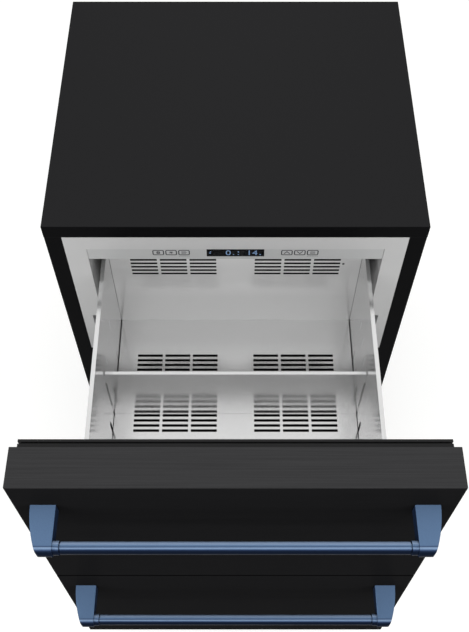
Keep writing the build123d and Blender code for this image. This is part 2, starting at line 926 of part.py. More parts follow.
def gasket(z_top):
    """Four mitred lengths of one profile: base, bellows and magnet head."""
    z_mid = z_top - door_height / 2
    outer_x = half_width - gasket_inset
    outer_z = door_height / 2 - gasket_inset

    def frame(inset, y0, y1):
        outside = Rectangle(2 * (outer_x - inset), 2 * (outer_z - inset))
        hole_x = outer_x - gasket_width + inset
        hole_z = outer_z - gasket_width + inset
        ring = outside - Rectangle(2 * hole_x, 2 * hole_z)
        return Pos(0, 0, z_mid) * along(ring, y0, y1)

    y1 = door_back + gasket_base
    y2 = y1 + gasket_neck
    ring = frame(0, door_back, y1) + frame(gasket_neck_inset, y1, y2)
    ring += frame(0, y2, y2 + gasket_head)
    inner_x = outer_x - gasket_width
    inner_z = outer_z - gasket_width
    pieces = []
    for side in (-1, 1):
        wide = make_face(Polyline(
            (-outer_x, side * outer_z), (outer_x, side * outer_z),
            (inner_x, side * inner_z), (-inner_x, side * inner_z), close=True))
        tall = make_face(Polyline(
            (side * outer_x, -outer_z), (side * outer_x, outer_z),
            (side * inner_x, inner_z), (side * inner_x, -inner_z), close=True))
        for outline in (wide, tall):
            pieces.append(ring & Pos(0, 0, z_mid) * along(outline, door_back, y2 + gasket_head))
    return pieces


# Handles
def handle_post(z_top):
    """The right-hand bracket: a flat-topped arm that ends in a rounded nose."""
    y_bar = door_front - bar_standoff
    z_high = z_top - handle_drop
    z_bar = z_high - nose_radius
    tip = door_front - handle_reach
    waist = (post_outer - post_waist_inset, door_front - post_waist_depth)
    end = (post_outer - post_tip_inset, tip)
    plan = make_face(
        Polyline((post_inner, door_front), (post_outer, door_front))
        + ThreePointArc((post_outer, door_front), waist, end)
        + Polyline(end, (post_inner, tip), (post_inner, door_front)))
    corner = plan.vertices().group_by(Axis.Y)[0].sort_by(Axis.X)[-1]
    plan = fillet(corner, post_corner)
    profile = make_face(
        Polyline((y_bar, z_high), (door_front, z_high), (door_front, z_high - 2 * nose_radius),
                 (y_bar, z_high - 2 * nose_radius))
        + ThreePointArc(
            (y_bar, z_high - 2 * nose_radius), (tip, z_bar), (y_bar, z_high)))
    arm = upward(plan, z_high - 2 * nose_radius, z_high) & across(profile, post_inner, post_outer)
    axis = Pos(0, y_bar, z_bar) * Rot(0, 90, 0)
    collar_x = post_inner - collar_length
    collar = axis * Pos(0, 0, post_inner - collar_length / 2) * Cylinder(collar_radius, collar_length)
    socket_length = spigot_length + cut_past
    socket = axis * Pos(0, 0, collar_x + socket_length / 2) * Cylinder(
        bar_spigot + spigot_clearance, socket_length)
    return arm + collar - socket


def handle_bar(z_top):
    """The round bar, turned down at both ends to enter the posts."""
    y_bar = door_front - bar_standoff
    z_bar = z_top - handle_drop - nose_radius
    half = post_inner - collar_length - groove
    axis = Pos(0, y_bar, z_bar) * Rot(0, 90, 0)
    spigots = Cylinder(bar_spigot, 2 * (half + groove + spigot_length - cut_past))
    return axis * (Cylinder(bar_radius, 2 * half) + spigots)


# Drawer boxes
def box_levels(z_top):
    """The height of the box's rim and of its floor, behind a door with this top edge."""
    return z_top - box_top_drop, z_top - door_height + box_floor_rise


def side_wall(z_top, stepped):
    """The right wall of the box, with its rolled rim; the upper one has slots for the pegs."""
    rim, floor_z = box_levels(z_top)
    outside = box_half + box_rim
    rear = box_back + steel
    plate = sheet([(box_half + steel, floor_z - steel), (box_half + steel, rim - steel)], Side.LEFT)
    rolled = sheet([(box_half, rim), (outside, rim), (outside, rim - box_rim_lip)], Side.RIGHT)
    wall = along(plate, door_back, rear) + along(rolled, door_back, rear)
    if stepped:
        return wall - block(
            box_half, outside, riser_y + steel, rear, floor_z - steel, step_floor - steel)
    half = peg_slot_width / 2
    for step in range(peg_slot_count):
        y = divider_y + (step - 1) * peg_slot_pitch
        for z0, z1 in peg_slots(z_top):
            wall -= block(box_half, box_half + steel, y - half, y + half, z0, z1)
    return wall


def peg_slots(z_top):
    """The heights of the high and the low row of slots for the divider."""
    rim, floor_z = box_levels(z_top)
    high = rim - peg_high_drop
    low = floor_z + peg_low_gap
    return [(high - peg_high_height, high), (low, low + peg_low_height)]


def slotted_floor(y0, y1, z):
    """A floor plate between two depths, with its front and rear fields of slots."""
    plate = block(-box_half, box_half, y0, y1, z - steel, z)
    cutter = upward(slot_outline(), z - steel - cut_past, z + cut_past)
    for behind in (rear_slots_behind, front_slots_behind):
        for row in range(slot_rows):
            y = box_back - behind - row * floor_slot_pitch
            if y0 + slot_width < y < y1 - slot_width:
                for x in slot_xs():
                    plate -= Pos(x, y, 0) * cutter
    return plate


def upper_floor():
    """The flat floor of the upper box."""
    floor_z = box_levels(upper_door_top)[1]
    return [slotted_floor(door_back + steel, box_back, floor_z)]


def lower_floor():
    """The lower box's floor: low in front, then up and over the compressor room."""
    floor_z = box_levels(lower_door_top)[1]
    low = block(-box_half, box_half, door_back + steel, riser_y, floor_z - steel, floor_z)
    riser = block(
        -box_half, box_half, riser_y, riser_y + steel, floor_z - steel, step_floor - steel)
    return [low, riser, slotted_floor(riser_y, box_back, step_floor)]


def back_wall(z_top, z_low):
    """The slotted back wall with its rolled rim."""
    rim = box_levels(z_top)[0]
    outside = box_back + box_rim
    section = sheet(
        [(box_back, z_low - steel), (box_back, rim), (outside, rim), (outside, rim - box_rim_lip)],
        Side.RIGHT)
    wall = across(section, -box_half, box_half)
    near = box_back - cut_past
    far = box_back + steel + cut_past
    cutter = along(slot_outline(), near, far)
    for x in slot_xs():
        for row in range(slot_rows):
            z = rim - back_slot_drop - row * back_slot_pitch
            if z - slot_width > z_low:
                wall -= Pos(x, 0, z) * cutter
    spot = Pos(box_half - sensor_hole_side_gap, rim - sensor_hole_drop)
    return wall - along(spot * RegularPolygon(sensor_hole_radius, small_facets), near, far)


def front_wall(z_top):
    """The plate of the box that is screwed to the door's inner panel."""
    rim, floor_z = box_levels(z_top)
    return block(-box_half, box_half, door_back, door_back + steel, floor_z - steel, rim)


def divider():
    """The cross wall, hemmed along its top, with pegs through the side walls."""
    rim, floor_z = box_levels(upper_door_top)
    high = rim - divider_drop
    near = divider_y - steel / 2
    section = sheet(
        [(near, floor_z + hem_foot), (near, high),
         (near + divider_hem, high), (near + divider_hem, high - divider_hem_lip)], Side.RIGHT)
    wall = across(section, -divider_half, divider_half)
    reach = box_half + peg_length
    for z0, z1 in peg_slots(upper_door_top):
        low = (z0 + z1 - peg_height) / 2
        wall += block(-reach, reach, near, near + steel, low, low + peg_height)
    return wall


# Rails
def drawer_member():
    """The rail screwed to the drawer, a channel open to the outside; (x, z) about its middle."""
    return sheet(
        [(rail_x + inner_flange, inner_half), (rail_x, inner_half),
         (rail_x, -inner_half), (rail_x + inner_flange, -inner_half)], Side.LEFT, rail_sheet)


def middle_member():
    """The sliding channel between the other two, open to the drawer."""
    web = rail_x + middle_web_out
    start = rail_x + middle_start
    return sheet(
        [(start, middle_half), (web, middle_half), (web, -middle_half), (start, -middle_half)],
        Side.RIGHT, rail_sheet)


def cabinet_member():
    """The fixed channel, open to the drawer."""
    web = rail_x + rail_depth
    start = rail_x + outer_start
    return sheet(
        [(start, outer_half), (web, outer_half), (web, -outer_half), (start, -outer_half)],
        Side.RIGHT, rail_sheet)


def ball_strips():
    """The cages that run between the members, as thin strips; (x, z) about the middle."""
    strips = []
    inner_gap = (inner_half + race_clearance, middle_half - rail_sheet)
    outer_gap = (middle_half, outer_half - rail_sheet - race_clearance)
    for low, high in (inner_gap, outer_gap):
        for side in (-1, 1):
            z = side * (low + high) / 2
            x = rail_x + outer_start + (inner_flange - outer_start) / 2
            strips.append(Pos(x, z) * Rectangle(inner_flange - outer_start, high - low))
    return strips


def rail(profile, z_mid, y0):
    """A pair of rails with one section."""
    piece = Pos(0, 0, z_mid) * along(profile, y0, y0 + rail_length)
    return [piece, mirrored(piece)]


def rail_pair(z_mid, profiles, pulled):
    """Both rails of every section given, pulled out by a distance."""
    pieces = []
    for profile in profiles:
        pieces += rail(profile, z_mid, front + rail_start - pulled)
    return pieces


def rail_brackets(z_mid):
    """Hat-shaped brackets between the fixed rails and the walls of their pocket."""
    near = rail_x + rail_depth + bracket_sheet
    section = sheet(
        [(pocket_half, bracket_half + bracket_foot), (pocket_half, bracket_half),
         (near, bracket_half), (near, -bracket_half), (pocket_half, -bracket_half),
         (pocket_half, -bracket_half - bracket_foot)], Side.RIGHT, bracket_sheet)
    pieces = []
    first = front + rail_start + bracket_inset
    last = front + rail_start + rail_length - bracket_inset - bracket_length
    for y0 in (first, last):
        piece = Pos(0, 0, z_mid) * along(section, y0, y0 + bracket_length)
        pieces += [piece, mirrored(piece)]
    return pieces


def build():
    """Writes every piece."""
    save("cabinet_top", cabinet_top())
    right = side_panel()
    save("side_panels", right, mirrored(right))
    save("cross_rails", *[rim_channel(*place) for place in rim_channel_places()])
    save("upper_liner", upper_liner())
    save("lower_liner", lower_liner())
    save("cabinet_foam", foam())
    save("back_panel", back_panel())
    save("compressor_deck", deck())
    save("base_pan", base_pan())
    save("toe_grille", toe_grille())
    save("machine_cover", machine_cover())
    save("cord_gland", cord_gland())
    for name, place in zip(("front_left", "front_right", "rear_left", "rear_right"), foot_places()):
        save(f"{name}_foot", foot(*place))

    save("compressor", compressor())
    save("compressor_mounts", *compressor_mounts())
    save("start_relay", start_relay())
    save("condenser", condenser())
    save("fan_shroud", fan_shroud())
    save("condenser_fan_motor", condenser_fan_motor())
    wheel_gap = shaft_length - shaft_engagement
    wheel = Pos(0, 0, wheel_gap) * fan(condenser_fan_radius, condenser_hub_radius)
    save("condenser_fan", condenser_fan_place() * wheel)
    save("defrost_drain", *drain_parts())
    save("refrigerant_lines", *refrigerant_lines())
    save("evaporator", evaporator())
    save("evaporator_grille", evaporator_grille())
    motor = fan_motor(evaporator_motor_radius, evaporator_motor_length)
    save("evaporator_fan_motor", evaporator_fan_place() * motor)
    wheel = Pos(0, 0, wheel_gap) * fan(evaporator_fan_radius, evaporator_hub_radius)
    save("evaporator_fan", evaporator_fan_place() * wheel)
    save("air_duct", air_duct())

    save("control_housing", control_housing())
    save("display_window", window_blank())
    save("touch_pads", *touch_pads())
    save("lamp_lens", lamp_lens())

    heights = (upper_rail_z, lower_rail_z)
    save("cabinet_rails", *[piece for z in heights for piece in rail_pair(z, [cabinet_member()], 0)])
    save("rail_brackets", *[piece for z in heights for piece in rail_brackets(z)])
    for name, z_top, z_rail in (
            ("upper", upper_door_top, upper_rail_z), ("lower", lower_door_top, lower_rail_z)):
        stepped = name == "lower"
        save(f"{name}_middle_rails", *rail_pair(z_rail, [middle_member()] + ball_strips(), opening / 2))
        save(f"{name}_drawer_rails", *rail_pair(z_rail, [drawer_member()], opening))
        liner_y = door_back - door_liner_wall
        save(f"{name}_door_skin", door_skin(z_top))
        save(f"{name}_door_foam", door_core(z_top, door_front + steel, liner_y))
        save(f"{name}_door_liner", door_core(z_top, liner_y, door_back))
        save(f"{name}_door_gasket", *gasket(z_top))
        post = handle_post(z_top)
        save(f"{name}_handle_posts", post, mirrored(post))
        save(f"{name}_handle_bar", handle_bar(z_top))
        wall = side_wall(z_top, stepped)
        save(f"{name}_drawer_walls", wall, mirrored(wall), front_wall(z_top))
        low = step_floor if stepped else box_levels(z_top)[1]
        save(f"{name}_drawer_back", back_wall(z_top, low))
        save(f"{name}_drawer_floor", *(lower_floor() if stepped else upper_floor()))
    save("drawer_divider", divider())


build()
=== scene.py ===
import math

import bmesh
import bpy
from mathutils import Matrix, Vector


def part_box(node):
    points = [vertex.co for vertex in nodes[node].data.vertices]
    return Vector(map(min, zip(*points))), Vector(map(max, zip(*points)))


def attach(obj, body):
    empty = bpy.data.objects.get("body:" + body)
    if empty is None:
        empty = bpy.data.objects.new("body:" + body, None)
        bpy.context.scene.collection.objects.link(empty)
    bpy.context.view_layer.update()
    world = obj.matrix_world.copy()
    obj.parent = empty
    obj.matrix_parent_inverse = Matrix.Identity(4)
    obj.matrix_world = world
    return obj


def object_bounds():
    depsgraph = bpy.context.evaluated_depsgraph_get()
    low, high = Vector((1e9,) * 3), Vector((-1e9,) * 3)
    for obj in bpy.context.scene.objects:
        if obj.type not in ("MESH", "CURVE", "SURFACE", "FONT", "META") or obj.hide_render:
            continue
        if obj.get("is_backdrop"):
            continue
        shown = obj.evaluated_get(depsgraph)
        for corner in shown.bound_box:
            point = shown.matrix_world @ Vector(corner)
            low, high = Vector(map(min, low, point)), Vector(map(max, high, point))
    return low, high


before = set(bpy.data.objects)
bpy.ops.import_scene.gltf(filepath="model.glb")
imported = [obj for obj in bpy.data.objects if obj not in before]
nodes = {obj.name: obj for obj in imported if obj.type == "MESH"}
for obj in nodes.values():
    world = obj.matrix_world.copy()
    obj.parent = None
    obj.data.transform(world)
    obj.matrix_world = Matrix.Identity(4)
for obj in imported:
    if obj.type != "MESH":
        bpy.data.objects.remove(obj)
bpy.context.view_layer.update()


# The camera stands in front of the machine and above it, and looks steeply down into the open drawer.
# Its lens and small shift give the photograph's framing on an upright picture.
photo_height = 632
focal_pixels = 887.57
sensor = 36.0
look_down = math.radians(58.309)
ahead_of_rim = 0.82861
above_top = 1.08340
frame_shift = -0.001535

rim_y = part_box("cabinet_top")[0].y
top_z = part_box("cabinet_top")[1].z
camera_data = bpy.data.cameras.new("camera")
camera_data.sensor_width = sensor
camera_data.lens = sensor * focal_pixels / photo_height
camera_data.shift_x = frame_shift
camera = bpy.data.objects.new("camera", camera_data)
camera.location = (0, rim_y - ahead_of_rim, top_z + above_top)
camera.rotation_euler = (math.pi / 2 - look_down, 0, 0)
bpy.context.scene.collection.objects.link(camera)
bpy.context.scene.camera = camera
bpy.context.scene.view_settings.view_transform = "Standard"


# The studio floor: one wide sheet of pale matt paper, laid flat, that catches the machine's soft shadow.
# Seen directly or in a mirror it is lifted towards white, so that only the shadow shows on it.
floor_half = 6.0
paper_hex = "#b8b8b6"
paper_roughness = 0.9
paper_lift = 0.66
paper_fibre = 0.004
paper_fibre_height = 0.0001


def linear(code):
    """The linear colour of an sRGB hex code."""
    parts = [int(code[i:i + 2], 16) / 255 for i in (1, 3, 5)]
    return [p / 12.92 if p <= 0.04045 else ((p + 0.055) / 1.055) ** 2.4 for p in parts] + [1.0]


def add(tree, kind, sockets=None, **settings):
    """Adds a shader node; a socket given as a value is linked, and anything else is set."""
    made = tree.nodes.new("ShaderNode" + kind)
    for name, value in settings.items():
        setattr(made, name, value)
    for name, value in (sockets or {}).items():
        if isinstance(value, bpy.types.NodeSocket):
            tree.links.new(value, made.inputs[name])
        else:
            made.inputs[name].default_value = value
    return made


def material(name, **values):
    """A new material, with the values set on its shader; spaces in their names are underscores."""
    made = bpy.data.materials.new(name)
    made.use_nodes = True
    shader = made.node_tree.nodes["Principled BSDF"]
    for key, value in values.items():
        shader.inputs[key.replace("_", " ")].default_value = value
    return made, made.node_tree, shader


def relief(tree, shader, size, height, strength=0.5, detail=2.0):
    """Lumps of one size and height, in metres, that shade a surface all over."""
    place = add(tree, "TexCoord")
    lumps = add(tree, "TexNoise", {"Vector": place.outputs["Object"], "Scale": 1 / size, "Detail": detail})
    bump = add(tree, "Bump", {"Height": lumps.outputs["Fac"], "Distance": height, "Strength": strength})
    tree.links.new(bump.outputs["Normal"], shader.inputs["Normal"])


def seen_ray(tree):
    """1 where the eye looks directly, in a mirror or through glass, and 0 where light bounces."""
    path = add(tree, "LightPath")
    seen = add(tree, "Math", {0: path.outputs["Is Camera Ray"], 1: path.outputs["Is Glossy Ray"]},
               operation="MAXIMUM")
    return add(tree, "Math", {0: seen.outputs[0], 1: path.outputs["Is Transmission Ray"]},
               operation="MAXIMUM").outputs[0]


def fill(name, mesh, coat):
    """A new object at the origin from a finished bmesh, in one material."""
    data = bpy.data.meshes.new(name)
    mesh.to_mesh(data)
    mesh.free()
    data.materials.append(coat)
    piece = bpy.data.objects.new(name, data)
    bpy.context.scene.collection.objects.link(piece)
    return piece


paper, tree, shader = material("matt paper", Base_Color=linear(paper_hex), Roughness=paper_roughness)
relief(tree, shader, paper_fibre, paper_fibre_height, strength=0.2)
lift = add(tree, "Math", {0: seen_ray(tree), 1: paper_lift}, operation="MULTIPLY")
shader.inputs["Emission Color"].default_value = (1, 1, 1, 1)
tree.links.new(lift.outputs[0], shader.inputs["Emission Strength"])
floor_mesh = bmesh.new()
bmesh.ops.create_grid(floor_mesh, x_segments=1, y_segments=1, size=floor_half)
fill("studio_floor", floor_mesh, paper)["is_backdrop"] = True


# Soft studio light: two boxes and a narrow strip hung over the machine, one box at each side in front, and
# the pale room around them, which metal shows as plain white. Each has its place, its size and its watts.
room_light = 0.56
softboxes = {
    "light_over": ((0.0, -0.9, 3.4), (4.2, 2.2), 17.0),
    "light_back": ((0.0, 2.9, 3.2), (1.3, 1.5), 18.0),
    "light_strip": ((0.0, -2.2, 2.6), (3.2, 0.34), 13.0),
    "light_left": ((-2.4, -2.4, 1.9), (2.4, 2.0), 32.0),
    "light_right": ((2.4, -2.4, 1.9), (2.4, 2.0), 32.0),
}
light_target = Vector((0, -0.1, 0.5))
for name, (spot, size, power) in softboxes.items():
    light = bpy.data.lights.new(name, "AREA")
    light.shape = "RECTANGLE"
    light.size, light.size_y = size
    light.energy = power
    lamp = bpy.data.objects.new(name, light)
    lamp.location = spot
    lamp.rotation_euler = (light_target - lamp.location).to_track_quat("-Z", "Y").to_euler()
    bpy.context.scene.collection.objects.link(lamp)

world = bpy.data.worlds.new("room")
world.use_nodes = True
bpy.context.scene.world = world
sky = world.node_tree.nodes["Background"]
strength = add(world.node_tree, "MapRange", {
    "Value": seen_ray(world.node_tree), "To Min": room_light, "To Max": 1.0})
world.node_tree.links.new(strength.outputs["Result"], sky.inputs["Strength"])
sky.inputs["Color"].default_value = (1, 1, 1, 1)


# The cabinet's skin: mild steel sheet, folded round at the front rim and spot welded behind it.
# Satin black powder coat: a fine orange peel softens its shine, and upward faces are painted paler, as a
# painted sheen of the light from above.
# It has almost no mirror gloss, so it stays black where it is seen nearly along its face.
skin_hex = "#0d0d0e"
skin_painted_light_hex = "#272728"
painted_light_start = 0.6
skin_roughness = 0.4
skin_gloss = 0.01
powder_ior = 1.45
peel_size = 0.0016
peel_height = 0.00002
sheet_edge = 0.0004
merge_gap = 0.00001
sharp_angle = math.radians(35)
flat_weight = 90


def soften(name, width, segments=2):
    """Breaks the sharp edges of a CAD node, as folding or casting does, and shades flat faces evenly."""
    piece = nodes[name]
    piece.data.polygons.foreach_set("use_smooth", [True] * len(piece.data.polygons))
    weld = piece.modifiers.new("weld", "WELD")
    weld.merge_threshold = merge_gap
    bevel = piece.modifiers.new("edge", "BEVEL")
    bevel.width = width
    bevel.segments = segments
    bevel.limit_method = "ANGLE"
    bevel.angle_limit = sharp_angle
    bevel.harden_normals = True
    piece.modifiers.new("shading", "WEIGHTED_NORMAL").weight = flat_weight


def coat_with(coat, *names):
    """Gives CAD nodes one finish."""
    for name in names:
        data = nodes[name].data
        data.materials.clear()
        data.materials.append(coat)


def painted_light_and_shade(tree, side, up, start):
    """Painted light and shade: one tone on upright faces, going to another on faces that look up."""
    facing = add(tree, "NewGeometry")
    part = add(tree, "SeparateXYZ", {"Vector": facing.outputs["Normal"]})
    tone = add(tree, "ValToRGB", {"Fac": part.outputs["Z"]})
    tone.color_ramp.elements[0].color = linear(side)
    tone.color_ramp.elements[1].color = linear(up)
    tone.color_ramp.elements[0].position = start
    return tone.outputs["Color"]


powder_coat, tree, shader = material(
    "satin black powder coat", Roughness=skin_roughness, IOR=powder_ior, Specular_IOR_Level=skin_gloss)
relief(tree, shader, peel_size, peel_height, strength=0.6)
tree.links.new(painted_light_and_shade(tree, skin_hex, skin_painted_light_hex, painted_light_start), shader.inputs["Base Color"])
coat_with(powder_coat, "cabinet_top", "side_panels", "cross_rails", "toe_grille")
for name in ("cabinet_top", "side_panels", "cross_rails"):
    soften(name, sheet_edge)


# Behind the skin: galvanised sheet for the back, deck, base pan, machine cover and fan plate.
# Hot dip zinc shows dull pale crystals of a centimetre or so.
zinc_light_hex = "#a7abad"
zinc_dark_hex = "#858a8c"
zinc_metal = 0.85
zinc_roughness = 0.45
spangle_size = 0.012
zinc, tree, shader = material("galvanised sheet", Metallic=zinc_metal, Roughness=zinc_roughness)
place = add(tree, "TexCoord")
spangle = add(tree, "TexVoronoi", {"Vector": place.outputs["Object"], "Scale": 1 / spangle_size})
tone = add(tree, "ValToRGB", {"Fac": spangle.outputs["Color"]})
tone.color_ramp.elements[0].color = linear(zinc_dark_hex)
tone.color_ramp.elements[1].color = linear(zinc_light_hex)
tree.links.new(tone.outputs["Color"], shader.inputs["Base Color"])
coat_with(zinc, "back_panel", "compressor_deck", "base_pan", "machine_cover", "fan_shroud")
for name in ("back_panel", "machine_cover"):
    soften(name, sheet_edge)


# Pan head screws with a cross recess: they hold the back sheet and the machine cover to the side sheets.
# Cold headed steel, chemically blackened in a fine mottle, and low enough to stay inside the recess of
# the back.
screw_radius = 0.0045
screw_height = 0.0010
screw_sides = 24
arm_sides = screw_sides // 4
cap_share = 0.82
cap_round = 0.35
recess_margin = 0.22
recess_waist = 0.34
recess_depth = 0.0006
screw_edge_gap = 0.0205
back_screw_heights = (0.26, 0.46, 0.66, 0.85)
cover_screw_heights = (0.045, 0.12, 0.195)
black_dark_hex = "#161617"
black_light_hex = "#2b2b2d"
screw_grain = 0.001


def mottle(tree, shader, size, dark, light, detail=1.0):
    """Two tones of one colour in patches of a size, in metres."""
    place = add(tree, "TexCoord")
    spots = add(tree, "TexNoise", {"Vector": place.outputs["Object"], "Scale": 1 / size, "Detail": detail})
    tone = add(tree, "ValToRGB", {"Fac": spots.outputs["Fac"]})
    tone.color_ramp.elements[0].color = linear(dark)
    tone.color_ramp.elements[1].color = linear(light)
    tree.links.new(tone.outputs["Color"], shader.inputs["Base Color"])


def screw_head():
    """The mesh of a pan head with a cross recess, flat side on the ground, looking up."""
    mesh = bmesh.new()
    bmesh.ops.create_cone(
        mesh, cap_ends=True, segments=screw_sides, radius1=screw_radius, radius2=screw_radius * cap_share,
        depth=screw_height, matrix=Matrix.Translation((0, 0, screw_height / 2)))
    cap = max(mesh.faces, key=lambda f: f.calc_center_median().z)
    bmesh.ops.bevel(mesh, geom=list(cap.edges), offset=screw_height * cap_round, segments=2, profile=0.5,
                    affect="EDGES", material=-1)
    cap = max(mesh.faces, key=lambda f: (round(f.calc_center_median().z, 5), f.calc_area()))
    bmesh.ops.inset_individual(mesh, faces=[cap], thickness=screw_radius * recess_margin, depth=0)
    centre = cap.calc_center_median()
    for corner in cap.verts:
        offset = corner.co - centre
        step = round(math.degrees(math.atan2(offset.y, offset.x)) * screw_sides / 360) % arm_sides
        corner.co = centre + offset * (1.0 if step in (0, 1, arm_sides - 1) else recess_waist)
    sunk = bmesh.ops.extrude_discrete_faces(mesh, faces=[cap])["faces"]
    bmesh.ops.translate(mesh, vec=(0, 0, -recess_depth), verts=list(sunk[0].verts))
    data = bpy.data.meshes.new("screw_head")
    mesh.to_mesh(data)
    mesh.free()
    return data


def put(mesh, data, matrix):
    """Adds a copy of a mesh, moved by a matrix."""
    start = len(mesh.verts)
    mesh.from_mesh(data)
    mesh.verts.ensure_lookup_table()
    bmesh.ops.transform(mesh, matrix=matrix, verts=mesh.verts[start:])


head = screw_head()
screws = bmesh.new()
backward = Matrix.Rotation(-math.pi / 2, 4, "X")
back_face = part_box("back_panel")[1].y
for name, heights in (("back_panel", back_screw_heights), ("machine_cover", cover_screw_heights)):
    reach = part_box(name)[1].x - screw_edge_gap
    for height in heights:
        for side in (-1, 1):
            put(screws, head, Matrix.Translation((side * reach, back_face, height)) @ backward)
black_steel, tree, shader = material("blackened screw steel", Metallic=0.6, Roughness=0.4)
mottle(tree, shader, screw_grain, black_dark_hex, black_light_hex)
cover_screws = fill("cover_screws", screws, black_steel)
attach(cover_screws, "cabinet")


# The liners: polystyrene sheet, vacuum formed into tubs, and the doors' inner panels of the same.
# Pale grey and smooth, and a little uneven where the deep draw thinned it.
liner_hex = "#bcbcbc"
liner_roughness = 0.4
draw_wave = 0.03
draw_depth = 0.0003
liner_plastic, tree, shader = material(
    "formed polystyrene", Base_Color=linear(liner_hex), Roughness=liner_roughness, IOR=1.55,
    Specular_IOR_Level=0.3)
relief(tree, shader, draw_wave, draw_depth, strength=0.3, detail=1.0)
coat_with(liner_plastic, "upper_liner", "lower_liner", "upper_door_liner", "lower_door_liner")


# The insulation: polyurethane foamed in place between skin and liners, with a channel for each rail.
# Straw yellow, with fine closed cells that show where a channel cuts it.
foam_hex = "#d9c58f"
foam_roughness = 0.85
cell_size = 0.0012
cell_depth = 0.0003
foam, tree, shader = material("rigid foam", Base_Color=linear(foam_hex), Roughness=foam_roughness)
place = add(tree, "TexCoord")
cells = add(tree, "TexVoronoi", {"Vector": place.outputs["Object"], "Scale": 1 / cell_size})
bump = add(tree, "Bump", {"Height": cells.outputs["Distance"], "Distance": cell_depth, "Strength": 0.5})
tree.links.new(bump.outputs["Normal"], shader.inputs["Normal"])
coat_with(foam, "cabinet_foam", "upper_door_foam", "lower_door_foam")


# The doors: one pressed steel pan each, brushed across and then coated satin black, with next to no gloss.
# Faint hairlines lie from side to side. The upper door's top is painted paler, as painted light from above.
# The lower door's top lies in the gap under the upper one, and is painted black, as painted shade.
door_hex = "#19191a"
door_painted_light_hex = "#3a3a3b"
door_painted_shade_hex = "#030303"
painted_shade_start = 0.1
door_roughness = 0.34
door_gloss = 0.0002
door_spread = 0.06
# The hairlines are drawn coarser than real ones, which are too fine to show.
hairline = 0.0012
hairline_length = 0.12
hairline_depth = 0.00002
streak_dark = 0.7
streak_light = 1.3


def door_finish(name, up, start):
    """The doors' coat, with the painted shading of faces that look up, and how much they lean where it
    starts.
    """
    made, tree, shader = material(name, IOR=powder_ior, Specular_IOR_Level=door_gloss)
    place = add(tree, "TexCoord")
    along = add(tree, "Mapping", {
        "Vector": place.outputs["Object"], "Scale": (1 / hairline_length, 1 / hairline, 1 / hairline)})
    brush = add(tree, "TexNoise", {"Vector": along.outputs["Vector"], "Scale": 1.0, "Detail": 3.0})
    rough = add(tree, "MapRange", {"Value": brush.outputs["Fac"], "To Min": door_roughness - door_spread,
                                   "To Max": door_roughness + door_spread})
    bump = add(tree, "Bump", {"Height": brush.outputs["Fac"], "Distance": hairline_depth, "Strength": 0.5})
    streak = add(tree, "MapRange", {
        "Value": brush.outputs["Fac"], "To Min": streak_dark, "To Max": streak_light})
    tone = add(tree, "VectorMath", {0: painted_light_and_shade(tree, door_hex, up, start)}, operation="SCALE")
    tree.links.new(streak.outputs["Result"], tone.inputs["Scale"])
    tree.links.new(tone.outputs["Vector"], shader.inputs["Base Color"])
    tree.links.new(rough.outputs["Result"], shader.inputs["Roughness"])
    tree.links.new(bump.outputs["Normal"], shader.inputs["Normal"])
    return made


coat_with(door_finish("brushed black steel", door_painted_light_hex, painted_light_start), "upper_door_skin")
coat_with(door_finish("brushed black steel, painted shade on top", door_painted_shade_hex, painted_shade_start),
          "lower_door_skin")
for name in ("upper_door_skin", "lower_door_skin"):
    soften(name, sheet_edge)


# The door gaskets: extruded vinyl with a magnet strip in the head, cut and welded at the mitres.
# Soft black, with the fine grain that the die leaves.
gasket_hex = "#161617"
gasket_roughness = 0.55
gasket_gloss = 0.2
die_grain = 0.002
die_grain_height = 0.00004
vinyl, tree, shader = material("soft vinyl", Base_Color=linear(gasket_hex), Roughness=gasket_roughness,
                               Specular_IOR_Level=gasket_gloss)
relief(tree, shader, die_grain, die_grain_height)
coat_with(vinyl, "upper_door_gasket", "lower_door_gasket")


# A lip of soft black rubber under the upper door closes most of the gap to the lower one, as painted shade.
# It is pushed into a fold of the pan, and its matt face shows as a black line of shade between the doors.
gap_shade_hex = "#030303"
lip_roughness = 0.8
lip_grain = 0.001
lip_grain_height = 0.00003
lip_height = 0.0023
lip_tuck = 0.0002
lip_depth = 0.006
lip_setback = 0.0004
lip_end = 0.004
lip_round = 0.0003


def slab(mesh, low, high, corner):
    """A closed block between two corners, its edges rounded."""
    made = bmesh.ops.create_cube(mesh, size=1.0)["verts"]
    bmesh.ops.scale(mesh, vec=high - low, verts=made)
    bmesh.ops.translate(mesh, vec=(low + high) / 2, verts=made)
    edges = {e for v in made for e in v.link_edges}
    bmesh.ops.bevel(mesh, geom=list(edges), offset=corner, segments=2, profile=0.5, affect="EDGES",
                    material=-1)


pan_low, pan_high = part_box("upper_door_skin")
lip_front = pan_low.y + lip_setback
lip = bmesh.new()
slab(lip, Vector((pan_low.x + lip_end, lip_front, pan_low.z - lip_height)),
     Vector((pan_high.x - lip_end, lip_front + lip_depth, pan_low.z + lip_tuck)), lip_round)
gap_shade_rubber, tree, shader = material("soft black rubber", Base_Color=linear(gap_shade_hex),
                                    Roughness=lip_roughness, Specular_IOR_Level=0.0)
relief(tree, shader, lip_grain, lip_grain_height)
door_gap_shade = fill("door_gap_shade_lip", lip, gap_shade_rubber)
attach(door_gap_shade, "upper_drawer")


# The handles: a drawn aluminium tube between two cast posts, screwed on from inside the door.
# Steel blue metallic lacquer, with light and shade painted on by how far a face leans: bright and dark
# bands, as a painted highlight and painted reflections, run along the tube, and its underside and sides are
# painted navy as shade. A band's angle, in degrees, is how far the surface leans from the front over the
# top.
handle_painted_side_shade_hex = "#22304a"
handle_painted_bands = (
    (-20, "#0b111d"), (42, "#111a2b"), (54, "#22304a"), (62, "#4d6284"), (69, "#7f98b9"), (76, "#8299b8"),
    (81, "#4b5f7e"), (86, "#445775"), (89.5, "#647fa2"), (98, "#6c87ab"), (110, "#a3bcdf"),
    (138, "#a3bcdf"), (160, "#647fa2"), (180, "#1c2942"))
side_shade_start = 0.5
side_shade_full = 0.8
flake_shade = 0.86
